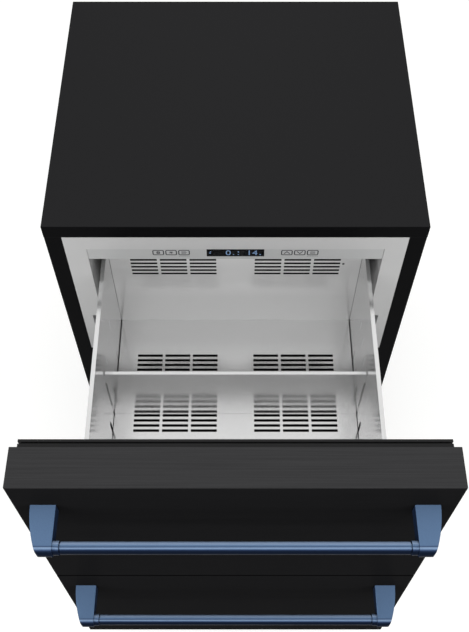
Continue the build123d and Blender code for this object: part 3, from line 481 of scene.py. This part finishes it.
# The flakes are drawn coarser than real ones, which are too fine to show.
flake_size = 0.0012
handle_metal = 0.04
handle_roughness = 0.3
handle_gloss = 0.01
cast_edge = 0.0006
cast_segments = 3
handle_parts = ("upper_handle_posts", "lower_handle_posts", "upper_handle_bar", "lower_handle_bar")
blue_lacquer, tree, shader = material(
    "metallic blue lacquer", Metallic=handle_metal, Roughness=handle_roughness,
    Specular_IOR_Level=handle_gloss)
facing = add(tree, "NewGeometry")
part = add(tree, "SeparateXYZ", {"Vector": facing.outputs["Normal"]})
ahead = add(tree, "Math", {0: part.outputs["Y"], 1: -1.0}, operation="MULTIPLY")
lean = add(tree, "Math", {0: part.outputs["Z"], 1: ahead.outputs[0]}, operation="ARCTAN2")
turn = add(tree, "MapRange", {"Value": lean.outputs[0], "From Min": -math.pi, "From Max": math.pi})
bands = add(tree, "ValToRGB", {"Fac": turn.outputs["Result"]})
bands.color_ramp.elements[0].color = linear(handle_painted_bands[0][1])
bands.color_ramp.elements[1].color = linear(handle_painted_bands[-1][1])
for degrees, code in handle_painted_bands[:-1]:
    bands.color_ramp.elements.new((degrees + 180) / 360).color = linear(code)
# Faces that look sideways are painted navy, as shade.
sideways = add(tree, "Math", {0: part.outputs["X"]}, operation="ABSOLUTE")
side = add(tree, "MapRange", {"Value": sideways.outputs[0], "From Min": side_shade_start, "From Max": side_shade_full})
shade = add(tree, "MixRGB", {"Fac": side.outputs["Result"], "Color1": bands.outputs["Color"],
                             "Color2": linear(handle_painted_side_shade_hex)})
place = add(tree, "TexCoord")
flake = add(tree, "TexVoronoi", {"Vector": place.outputs["Object"], "Scale": 1 / flake_size})
sparkle = add(tree, "MapRange", {"Value": flake.outputs["Distance"], "To Min": 1.0, "To Max": flake_shade})
tone = add(tree, "VectorMath", {0: shade.outputs["Color"]}, operation="SCALE")
tree.links.new(sparkle.outputs["Result"], tone.inputs["Scale"])
tree.links.new(tone.outputs["Vector"], shader.inputs["Base Color"])
coat_with(blue_lacquer, *handle_parts)
for name in handle_parts:
    soften(name, cast_edge, cast_segments)


# The boxes: thin stainless sheet, bent and spot welded, with punched slots and a rolled rim all round.
# Fine brushing gives soft mirror images; the side walls are brushed the other way, along the drawer.
# The backs are duller. They are painted brighter towards the upper one's rim, as painted light, and painted
# dark where they look up, as painted shade.
steel_hex = "#dadada"
steel_painted_light_hex = "#dfdfdf"
steel_metal = 0.85
steel_roughness = 0.17
steel_spread = 0.05
# The brush marks are drawn coarser than real ones, which are too fine to show.
scratch = 0.0009
scratch_length = 0.06
scratch_depth = 0.0000012
scratch_across = (1 / scratch_length, 1 / scratch, 1 / scratch)
scratch_along = (1 / scratch, 1 / scratch_length, 1 / scratch)
back_metal = 0.25
back_painted_shade_hex = "#101010"
back_shade_start = 0.7
painted_light_reach = 0.15
painted_light_low = 0.9
painted_light_high = 1.36


def brushed(name, scale, metal=steel_metal, up=steel_painted_light_hex, start=0.0):
    """Stainless steel with brush marks stretched by the scale, and painted shading on faces that look up.
    """
    made, tree, shader = material(name, Metallic=metal)
    place = add(tree, "TexCoord")
    along = add(tree, "Mapping", {"Vector": place.outputs["Object"], "Scale": scale})
    brush = add(tree, "TexNoise", {"Vector": along.outputs["Vector"], "Scale": 1.0, "Detail": 3.0})
    rough = add(tree, "MapRange", {"Value": brush.outputs["Fac"], "To Min": steel_roughness - steel_spread,
                                   "To Max": steel_roughness + steel_spread})
    bump = add(tree, "Bump", {"Height": brush.outputs["Fac"], "Distance": scratch_depth, "Strength": 0.4})
    tree.links.new(rough.outputs["Result"], shader.inputs["Roughness"])
    tree.links.new(bump.outputs["Normal"], shader.inputs["Normal"])
    tree.links.new(painted_light_and_shade(tree, steel_hex, up, start), shader.inputs["Base Color"])
    return made


# Faces of the boxes that look up are painted a little paler, as painted light.
across_steel = brushed("stainless brushed across", scratch_across)
along_steel = brushed("stainless brushed along", scratch_along)
dull_steel = brushed("stainless brushed across, dull", scratch_across, back_metal, back_painted_shade_hex,
                     back_shade_start)
# Painted light: the backs are painted brighter towards the upper box's rim.
rim_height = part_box("upper_drawer_back")[1].z
tree = dull_steel.node_tree
shader = tree.nodes["Principled BSDF"]
place = add(tree, "TexCoord")
spot = add(tree, "SeparateXYZ", {"Vector": place.outputs["Object"]})
painted_light_rise = add(tree, "MapRange", {
    "Value": spot.outputs["Z"], "From Min": rim_height - painted_light_reach, "From Max": rim_height,
    "To Min": painted_light_low, "To Max": painted_light_high})
tone = add(tree, "VectorMath", {0: shader.inputs["Base Color"].links[0].from_socket}, operation="SCALE")
tree.links.new(painted_light_rise.outputs["Result"], tone.inputs["Scale"])
tree.links.new(tone.outputs["Vector"], shader.inputs["Base Color"])
coat_with(across_steel, "upper_drawer_floor", "lower_drawer_floor", "drawer_divider", "evaporator_grille")
coat_with(along_steel, "upper_drawer_walls", "lower_drawer_walls")
coat_with(dull_steel, "upper_drawer_back", "lower_drawer_back")


# Black needled felt behind the slots of each box, under the floor and on the back: a sheet of painted
# shade, so that the slots show black. Under the lower box's floor it covers the raised part.
shade_felt_hex = "#040404"
felt_roughness = 0.95
felt_gloss = 0.1
# The fibres are drawn coarser than real ones, which are too fine to show.
fibre_size = 0.0007
fibre_height = 0.0003
felt_gap = 0.0004
felt_thickness = 0.0012
felt_margin = 0.006
felt_front_gap = 0.02
felt_round = 0.0003
felt_top_drop = 0.024
felt_bottom_drop = 0.084
sheet_steel = 0.001
raised_floor = 0.124
felt, tree, shader = material("black felt of painted shade", Base_Color=linear(shade_felt_hex), Roughness=felt_roughness,
                              Specular_IOR_Level=felt_gloss)
relief(tree, shader, fibre_size, fibre_height, strength=0.6, detail=3.0)
for box_name in ("upper", "lower"):
    low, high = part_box(box_name + "_drawer_floor")
    back_low, back_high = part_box(box_name + "_drawer_back")
    near = high.y - raised_floor if box_name == "lower" else low.y + felt_front_gap
    under = high.z - sheet_steel - felt_gap
    behind = back_low.y + sheet_steel + felt_gap
    bottom = back_high.z - felt_bottom_drop
    top = back_high.z - felt_top_drop
    felts = bmesh.new()
    slab(felts, Vector((low.x + felt_margin, near + felt_margin, under - felt_thickness)),
         Vector((high.x - felt_margin, high.y - felt_margin, under)), felt_round)
    slab(felts, Vector((back_low.x + felt_margin, behind, bottom)),
         Vector((back_high.x - felt_margin, behind + felt_thickness, top)), felt_round)
    slot_felts = fill(box_name + "_slot_shade_felts", felts, felt)
    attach(slot_felts, box_name + "_drawer")


# Screws through the front plate of each box into the door: the same low heads, bright zinc plated, seen
# from inside the box. Three stand near the rim and three near the floor.
plated_hex = "#b3b6b8"
plated_smooth = 0.25
plated_dull = 0.4
plate_screw_xs = (-0.17, 0.0, 0.17)
plate_screw_margin = 0.022


def dulled(tree, shader, size, smooth, dull, detail=2.0):
    """Makes a surface more and less dull in patches of a size, in metres."""
    place = add(tree, "TexCoord")
    spots = add(tree, "TexNoise", {"Vector": place.outputs["Object"], "Scale": 1 / size, "Detail": detail})
    rough = add(tree, "MapRange", {"Value": spots.outputs["Fac"], "To Min": smooth, "To Max": dull})
    tree.links.new(rough.outputs["Result"], shader.inputs["Roughness"])


plated_steel, tree, shader = material("plated screw steel", Base_Color=linear(plated_hex), Metallic=1.0)
dulled(tree, shader, screw_grain, plated_smooth, plated_dull, detail=1.0)
for box_name in ("upper", "lower"):
    low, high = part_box(box_name + "_drawer_walls")
    plate_face = low.y + sheet_steel
    fixings = bmesh.new()
    for x in plate_screw_xs:
        for z in (low.z + plate_screw_margin, high.z - plate_screw_margin):
            put(fixings, head, Matrix.Translation((x, plate_face, z)) @ backward)
    plate_screws = fill(box_name + "_plate_screws", fixings, plated_steel)
    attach(plate_screws, box_name + "_drawer")


# Painted shade along the joints of each box, shaped as black silicone beads: one between floor and walls,
# and a thin one up each rear corner. Tooled hollow, slightly glossy.
joint_shade_hex = "#1c1c1d"
sealant_roughness = 0.35
ripple_size = 0.006
ripple_height = 0.0002
bead_leg = 0.0014
front_leg = 0.0008
corner_leg = 0.0006
bead_steps = 4
bead_front_gap = 0.001
bead_top_gap = 0.003
bead_sink = 0.00005
sealant, tree, shader = material("black bead of painted joint shade", Base_Color=linear(joint_shade_hex),
                                 Roughness=sealant_roughness, IOR=1.4)
relief(tree, shader, ripple_size, ripple_height, strength=0.4, detail=1.0)


def bead(mesh, corner, first, second, run, leg):
    """A hollow fillet in a corner, from its two directions along the walls and its run."""
    rim = [corner + first * leg * (1 - math.sin(t * math.pi / 2 / bead_steps))
           + second * leg * (1 - math.cos(t * math.pi / 2 / bead_steps)) for t in range(bead_steps + 1)]
    face = mesh.faces.new([mesh.verts.new(p) for p in [corner] + rim])
    made = bmesh.ops.extrude_face_region(mesh, geom=[face], use_keep_orig=True)
    bmesh.ops.translate(mesh, vec=run, verts=[v for v in made["geom"] if isinstance(v, bmesh.types.BMVert)])


for box_name in ("upper", "lower"):
    low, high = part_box(box_name + "_drawer_floor")
    rim_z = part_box(box_name + "_drawer_back")[1].z
    front = low.y + bead_front_gap
    rear = high.y + bead_sink
    if box_name == "upper":
        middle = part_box("drawer_divider")[0].y
        spans = ((front, middle, high.z, front_leg), (middle, rear, high.z, bead_leg))
    else:
        step_y = high.y - raised_floor
        spans = ((front, step_y, low.z + sheet_steel, bead_leg), (step_y, rear, high.z, bead_leg))
    beads = bmesh.new()
    for side in (-1, 1):
        inward = Vector((-side, 0, 0))
        for start, end, level, leg in spans:
            bead(beads, Vector((side * high.x, start, level)), inward, Vector((0, 0, 1)),
                 Vector((0, end - start, 0)), leg)
        bead(beads, Vector((side * high.x, rear, high.z)), inward, Vector((0, -1, 0)),
             Vector((0, 0, rim_z - high.z - bead_top_gap)), corner_leg)
    bmesh.ops.recalc_face_normals(beads, faces=beads.faces[:])
    joint_shade = fill(box_name + "_box_joint_shade", beads, sealant)
    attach(joint_shade, box_name + "_drawer")


# Pads over the low peg slots of the upper box, of the same felt, on the walls' outside: painted shade,
# so that the slots show dark.
pad_thickness = 0.0022
pad_width = 0.010
pad_rise = 0.040
pad_round = 0.0007
slot_pitch = 0.035
slot_steps = (-1, 0, 1, 2, 3)
divider_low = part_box("drawer_divider")[0]
divider_sheet = divider_low.y + sheet_steel / 2
wall_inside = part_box("upper_drawer_floor")[1].x
wall_outside = wall_inside + sheet_steel
peg_pads = bmesh.new()
for side in (-1, 1):
    near, far = sorted((side * wall_outside, side * (wall_outside + pad_thickness)))
    for step in slot_steps:
        y = divider_sheet + step * slot_pitch
        slab(peg_pads, Vector((near, y - pad_width / 2, divider_low.z)),
             Vector((far, y + pad_width / 2, divider_low.z + pad_rise)), pad_round)
slot_pads = fill("peg_slot_shade_pads", peg_pads, felt)
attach(slot_pads, "upper_drawer")


# Plugs of the same felt in the two low slots beside the divider, inside the box, as painted shade.
# All that shows of each is its thin flange, which lies on the wall round the slot as a short black stroke.
plug_width = 0.0064
plug_height = 0.030
plug_foot = 0.003
plug_flange = 0.0005
plug_round = 0.0002
plug_steps = (-1, 1)
plug_low = divider_low.z + plug_foot
plugs = bmesh.new()
for side in (-1, 1):
    near, far = sorted((side * wall_inside, side * (wall_inside - plug_flange)))
    for step in plug_steps:
        y = divider_sheet + step * slot_pitch
        slab(plugs, Vector((near, y - plug_width / 2, plug_low)),
             Vector((far, y + plug_width / 2, plug_low + plug_height)), plug_round)
slot_plugs = fill("peg_slot_shade_plugs", plugs, felt)
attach(slot_plugs, "upper_drawer")


# The rails: cold rolled channels, bright zinc plated, and their pressed brackets.
# Long drawing marks run with each channel.
rail_hex = "#b9bdbf"
rail_smooth = 0.24
rail_dull = 0.4
mark_width = 0.002
mark_length = 0.1
rail_steel, tree, shader = material("zinc plated steel", Base_Color=linear(rail_hex), Metallic=1.0)
place = add(tree, "TexCoord")
along = add(tree, "Mapping", {
    "Vector": place.outputs["Object"], "Scale": (1 / mark_width, 1 / mark_length, 1 / mark_width)})
marks = add(tree, "TexNoise", {"Vector": along.outputs["Vector"], "Scale": 1.0, "Detail": 2.0})
rough = add(tree, "MapRange", {"Value": marks.outputs["Fac"], "To Min": rail_smooth, "To Max": rail_dull})
tree.links.new(rough.outputs["Result"], shader.inputs["Roughness"])
coat_with(
    rail_steel, "cabinet_rails", "rail_brackets", "upper_middle_rails", "lower_middle_rails",
    "upper_drawer_rails", "lower_drawer_rails")


# The control strip: moulded grey ABS with a fine spark texture, clipped under the top of the opening.
# Its six touch pads are flush and of the same plastic.
strip_hex = "#b3b4b4"
strip_roughness = 0.45
# The spark texture is drawn coarser than the real one, which is too fine to show.
spark_size = 0.0009
spark_height = 0.00003
strip_plastic, tree, shader = material("moulded grey ABS", Base_Color=linear(strip_hex),
                                       Roughness=strip_roughness, Specular_IOR_Level=0.3)
relief(tree, shader, spark_size, spark_height, strength=0.4)
coat_with(strip_plastic, "control_housing", "touch_pads")


# The outlines and signs on the pads: dark grey ink, screen printed through a fine mesh.
# The signs stand for mode, lamp, lock, up, down and list. Two of the pads have a row of short dashes below.
ink_dark_hex = "#26262a"
ink_light_hex = "#36363a"
# The screen's mesh is drawn coarser than the real one, which is too fine to show.
screen_size = 0.0006
ink_depth = 0.00012
ink_width = 0.0014
ring_width = 0.0017
ring_segments = 5
pad_size = (0.0184, 0.0136)
pad_turn = 0.0030
pad_first = 0.082
pad_pitch = 0.0206
pad_drop = 0.0103
thin_line = 0.0009
lock_half = 0.0028
lock_rise = 0.0004
shackle_half = 0.0018
shackle_line = 0.0012
ray_length = 0.00308
row_pitch = 0.0024
mode_half = 0.0038
mode_step = 0.0012
list_half = 0.0036
arrow_half = 0.0042
arrow_rise = 0.0027
dash_pitch = 0.0026
dash_half = 0.0006
dash_drop = 0.0094
dash_line = 0.0007
pad_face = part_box("touch_pads")[0].y
pad_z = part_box("control_housing")[1].z - pad_drop
ink, tree, shader = material("printed grey ink", Roughness=0.6, Specular_IOR_Level=0.2)
mottle(tree, shader, screen_size, ink_dark_hex, ink_light_hex)


def upright(mesh, points):
    """A flat face in the plane of the strip, from (x, z) points."""
    return mesh.faces.new([mesh.verts.new((x, pad_face, z)) for x, z in points])


def stroke(mesh, *points, width=ink_width):
    """A printed line through (x, z) points."""
    for (x0, z0), (x1, z1) in zip(points, points[1:]):
        run = Vector((x1 - x0, z1 - z0)).normalized() * width / 2
        side = Vector((-run.y, run.x))
        ends = [Vector((x0, z0)) - run, Vector((x1, z1)) + run]
        upright(mesh, [ends[0] - side, ends[1] - side, ends[1] + side, ends[0] + side])


def outline(mesh, x, z, width, height, corner):
    """A printed ring with rounded corners."""
    half_x, half_z = width / 2, height / 2
    face = upright(mesh, [(x - half_x, z - half_z), (x + half_x, z - half_z),
                          (x + half_x, z + half_z), (x - half_x, z + half_z)])
    made = bmesh.ops.bevel(mesh, geom=list(face.verts), offset=corner, segments=ring_segments, profile=0.5,
                           affect="VERTICES", material=-1)
    face = max({f for v in made["verts"] for f in v.link_faces}, key=lambda f: f.calc_area())
    bmesh.ops.inset_individual(mesh, faces=[face], thickness=ring_width, depth=0)
    bmesh.ops.delete(mesh, geom=[face], context="FACES_ONLY")


def raise_ink(mesh, depth):
    """Gives flat print its thickness, towards the front, and closes it."""
    made = bmesh.ops.extrude_face_region(mesh, geom=mesh.faces[:], use_keep_orig=True)
    bmesh.ops.translate(
        mesh, vec=(0, -depth, 0), verts=[v for v in made["geom"] if isinstance(v, bmesh.types.BMVert)])
    bmesh.ops.recalc_face_normals(mesh, faces=mesh.faces[:])


marks_mesh = bmesh.new()
pad_xs = [side * (pad_first + step * pad_pitch) for side in (-1, 1) for step in range(3)]
for x in pad_xs:
    outline(marks_mesh, x, pad_z, *pad_size, pad_turn)
mode_x, lamp_x, lock_x, up_x, down_x, list_x = pad_xs
upright(marks_mesh, [(lock_x - lock_half, pad_z - lock_half), (lock_x + lock_half, pad_z - lock_half),
                     (lock_x + lock_half, pad_z + lock_rise), (lock_x - lock_half, pad_z + lock_rise)])
stroke(marks_mesh, (lock_x - shackle_half, pad_z), (lock_x - shackle_half, pad_z + lock_half),
       (lock_x + shackle_half, pad_z + lock_half), (lock_x + shackle_half, pad_z), width=shackle_line)
for turn in range(3):
    angle = math.radians(90 + 60 * turn)
    tip = Vector((math.cos(angle), math.sin(angle))) * ray_length
    stroke(marks_mesh, (lamp_x - tip.x, pad_z - tip.y), (lamp_x + tip.x, pad_z + tip.y), width=thin_line)
for row in (-1, 0, 1):
    level = pad_z + row * row_pitch
    mode_end = mode_x + mode_half - mode_step * abs(row)
    stroke(marks_mesh, (mode_x - mode_half, level), (mode_end, level), width=thin_line)
    stroke(marks_mesh, (list_x - list_half, level), (list_x + list_half, level), width=thin_line)
for x, rise in ((up_x, arrow_rise), (down_x, -arrow_rise)):
    stroke(marks_mesh, (x - arrow_half, pad_z - rise), (x, pad_z + rise), (x + arrow_half, pad_z - rise))
for x in (mode_x, list_x):
    for step in range(-3, 4):
        dash_x = x + step * dash_pitch
        stroke(marks_mesh, (dash_x - dash_half, pad_z - dash_drop), (dash_x + dash_half, pad_z - dash_drop),
               width=dash_line)
raise_ink(marks_mesh, ink_depth)
pad_marks = fill("pad_marks", marks_mesh, ink)
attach(pad_marks, "cabinet")


# The display window: smoked acrylic, set flush in its seat, glossy and faintly smudged.
# On its face the figures glow pale blue: a zero, a two-figure reading, and small round dots beside them.
window_hex = "#06070a"
window_smooth = 0.08
window_dull = 0.18
smudge_size = 0.01667
window, tree, shader = material("smoked acrylic", Base_Color=linear(window_hex), IOR=1.49,
                                Specular_IOR_Level=0.25)
dulled(tree, shader, smudge_size, window_smooth, window_dull)
coat_with(window, "display_window")

glow_hex = "#9fc4f0"
unlit_hex = "#3b4b66"
figure_glow = 0.32
figure_grain = 0.0008
figure_smooth = 0.3
figure_dull = 0.5
figure_size = 0.018225
figure_depth = 0.0001
figure_drop = 0.001
written_figures = (("0", -0.0115), ("14", 0.0265))
round_dots = ((-0.0030, -0.004, 0.0010), (0.0046, 0.003, 0.0013), (0.0046, -0.004, 0.0011),
              (0.0395, -0.004, 0.0013), (-0.0405, 0.0, 0.0014), (-0.0398, 0.004, 0.0009))
dot_sides = 12
glow, tree, shader = material("pale blue figures", Base_Color=linear(unlit_hex),
                              Emission_Color=linear(glow_hex), Emission_Strength=figure_glow)
dulled(tree, shader, figure_grain, figure_smooth, figure_dull)
window_low, window_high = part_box("display_window")
window_z = (window_low.z + window_high.z) / 2 - figure_drop
figure_y = window_low.y - figure_depth / 2
upended = Matrix.Rotation(math.pi / 2, 4, "X")
figures = bmesh.new()
for words, x in written_figures:
    curve = bpy.data.curves.new("figure", "FONT")
    curve.body = words
    curve.size = figure_size
    curve.extrude = figure_depth / 2
    curve.align_x = "CENTER"
    curve.align_y = "CENTER"
    written = bpy.data.objects.new("figure", curve)
    flat = bpy.data.meshes.new_from_object(written)
    flat.transform(Matrix.Translation((x, figure_y, window_z)) @ upended)
    figures.from_mesh(flat)
    bpy.data.objects.remove(written)
for x, z, radius in round_dots:
    made = bmesh.ops.create_cone(figures, cap_ends=True, segments=dot_sides, radius1=radius, radius2=radius,
                                 depth=figure_depth)["verts"]
    bmesh.ops.transform(
        figures, verts=made, matrix=Matrix.Translation((x, figure_y, window_z + z)) @ upended)
display_figures = fill("display_figures", figures, glow)
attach(display_figures, "cabinet")


# The lens of the inner lamp: moulded polycarbonate, clipped into the roof of the upper cavity.
# Its frosted face spreads the light and hides the lamp.
lens_hex = "#eef2f3"
lens_roughness = 0.3
lens_clear = 0.5
frost_size = 0.00111
frost_height = 0.00005
lens, tree, shader = material("frosted polycarbonate", Base_Color=linear(lens_hex),
                              Roughness=lens_roughness, Transmission_Weight=lens_clear)
relief(tree, shader, frost_size, frost_height, strength=1.0)
coat_with(lens, "lamp_lens")


# The levelling feet: black glass-filled nylon, moulded on a steel stud that screws into a weld nut.
# A rolled metric thread shows between the pad and the base pan.
nylon_hex = "#1c1c1d"
nylon_roughness = 0.5
nylon_grain = 0.0011
nylon_grain_height = 0.00004
thread_root = 0.0049
thread_crest = 0.0053
thread_pitch = 0.0015
thread_land = 0.1
thread_wall = 0.0002
thread_turns = 7
thread_steps = 14
thread_start = 0.0135
thread_profile = (
    (thread_root, thread_land / 2), (thread_crest, 0.5 - thread_land / 2),
    (thread_crest, 0.5 + thread_land / 2), (thread_root, 1 - thread_land / 2))
feet = ("front_left_foot", "front_right_foot", "rear_left_foot", "rear_right_foot")
black_plastic, tree, shader = material(
    "black nylon", Base_Color=linear(nylon_hex), Roughness=nylon_roughness)
relief(tree, shader, nylon_grain, nylon_grain_height)
coat_with(black_plastic, *feet)
for name in feet:
    low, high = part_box(name)
    axis = (low + high) / 2
    thread = bmesh.new()
    profile = [thread.verts.new((axis.x + radius, axis.y, thread_start + rise * thread_pitch))
               for radius, rise in thread_profile]
    edges = [thread.edges.new(pair) for pair in zip(profile, profile[1:])]
    bmesh.ops.spin(
        thread, geom=profile + edges, cent=axis, axis=(0, 0, 1),
        dvec=(0, 0, thread_pitch / thread_steps), angle=2 * math.pi * thread_turns,
        steps=thread_steps * thread_turns)
    bmesh.ops.solidify(thread, geom=thread.faces[:], thickness=thread_wall)
    bmesh.ops.recalc_face_normals(thread, faces=thread.faces[:])
    stud = fill(name + "_thread", thread, plated_steel)
    stud.data.polygons.foreach_set("use_smooth", [True] * len(stud.data.polygons))
    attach(stud, name)


# The compressor: two deep drawn steel shells, welded round the middle. The condenser fan's motor is alike.
# Black stove enamel, dipped over the weld, so it is glossy and runs a little.
enamel_hex = "#131314"
enamel_smooth = 0.22
enamel_dull = 0.4
run_size = 0.017
enamel, tree, shader = material("black stove enamel", Base_Color=linear(enamel_hex))
dulled(tree, shader, run_size, enamel_smooth, enamel_dull)
coat_with(enamel, "compressor", "condenser_fan_motor")


# The compressor's mounts: moulded rubber grommets over pins of the base pan.
# Matt dark grey, with a chalky dust from the mould.
rubber_hex = "#2c2c2e"
rubber_smooth = 0.6
rubber_dull = 0.8
chalk_size = 0.0025
rubber, tree, shader = material("moulded rubber", Base_Color=linear(rubber_hex))
dulled(tree, shader, chalk_size, rubber_smooth, rubber_dull)
coat_with(rubber, "compressor_mounts")


# The start relay, clipped over the compressor's pins, the cord gland in the machine cover, and the
# condenser fan: black nylon mouldings, as the feet are.
coat_with(black_plastic, "start_relay", "cord_gland", "condenser_fan")


# Air duct, evaporator fan with its motor, and the defrost drain: white polypropylene mouldings.
# Slightly waxy, with faint flow marks.
polypropylene_hex = "#d7d8d4"
wax_smooth = 0.4
wax_dull = 0.55
flow_size = 0.02
white_plastic, tree, shader = material("white polypropylene", Base_Color=linear(polypropylene_hex))
dulled(tree, shader, flow_size, wax_smooth, wax_dull)
coat_with(white_plastic, "defrost_drain", "air_duct", "evaporator_fan_motor", "evaporator_fan")


# The suction line and the hot gas line: soft copper tube, bent to its route and brazed at its ends.
# Clean copper with patches of brown tarnish.
copper_light_hex = "#d59067"
copper_dark_hex = "#a8643c"
copper_roughness = 0.32
tarnish_size = 0.025
copper, tree, shader = material("drawn copper", Metallic=1.0, Roughness=copper_roughness)
mottle(tree, shader, tarnish_size, copper_dark_hex, copper_light_hex, detail=3.0)
coat_with(copper, "refrigerant_lines")


# The evaporator and the condenser: aluminium tube bent to and fro, with pressed fins in the cold one.
# Bare metal as it leaves the mill, dulled in small patches.
aluminium_hex = "#c4c8ca"
aluminium_smooth = 0.28
aluminium_dull = 0.45
patch_size = 0.008
aluminium, tree, shader = material("bare aluminium", Base_Color=linear(aluminium_hex), Metallic=1.0)
dulled(tree, shader, patch_size, aluminium_smooth, aluminium_dull)
coat_with(aluminium, "evaporator", "condenser")


low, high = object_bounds()
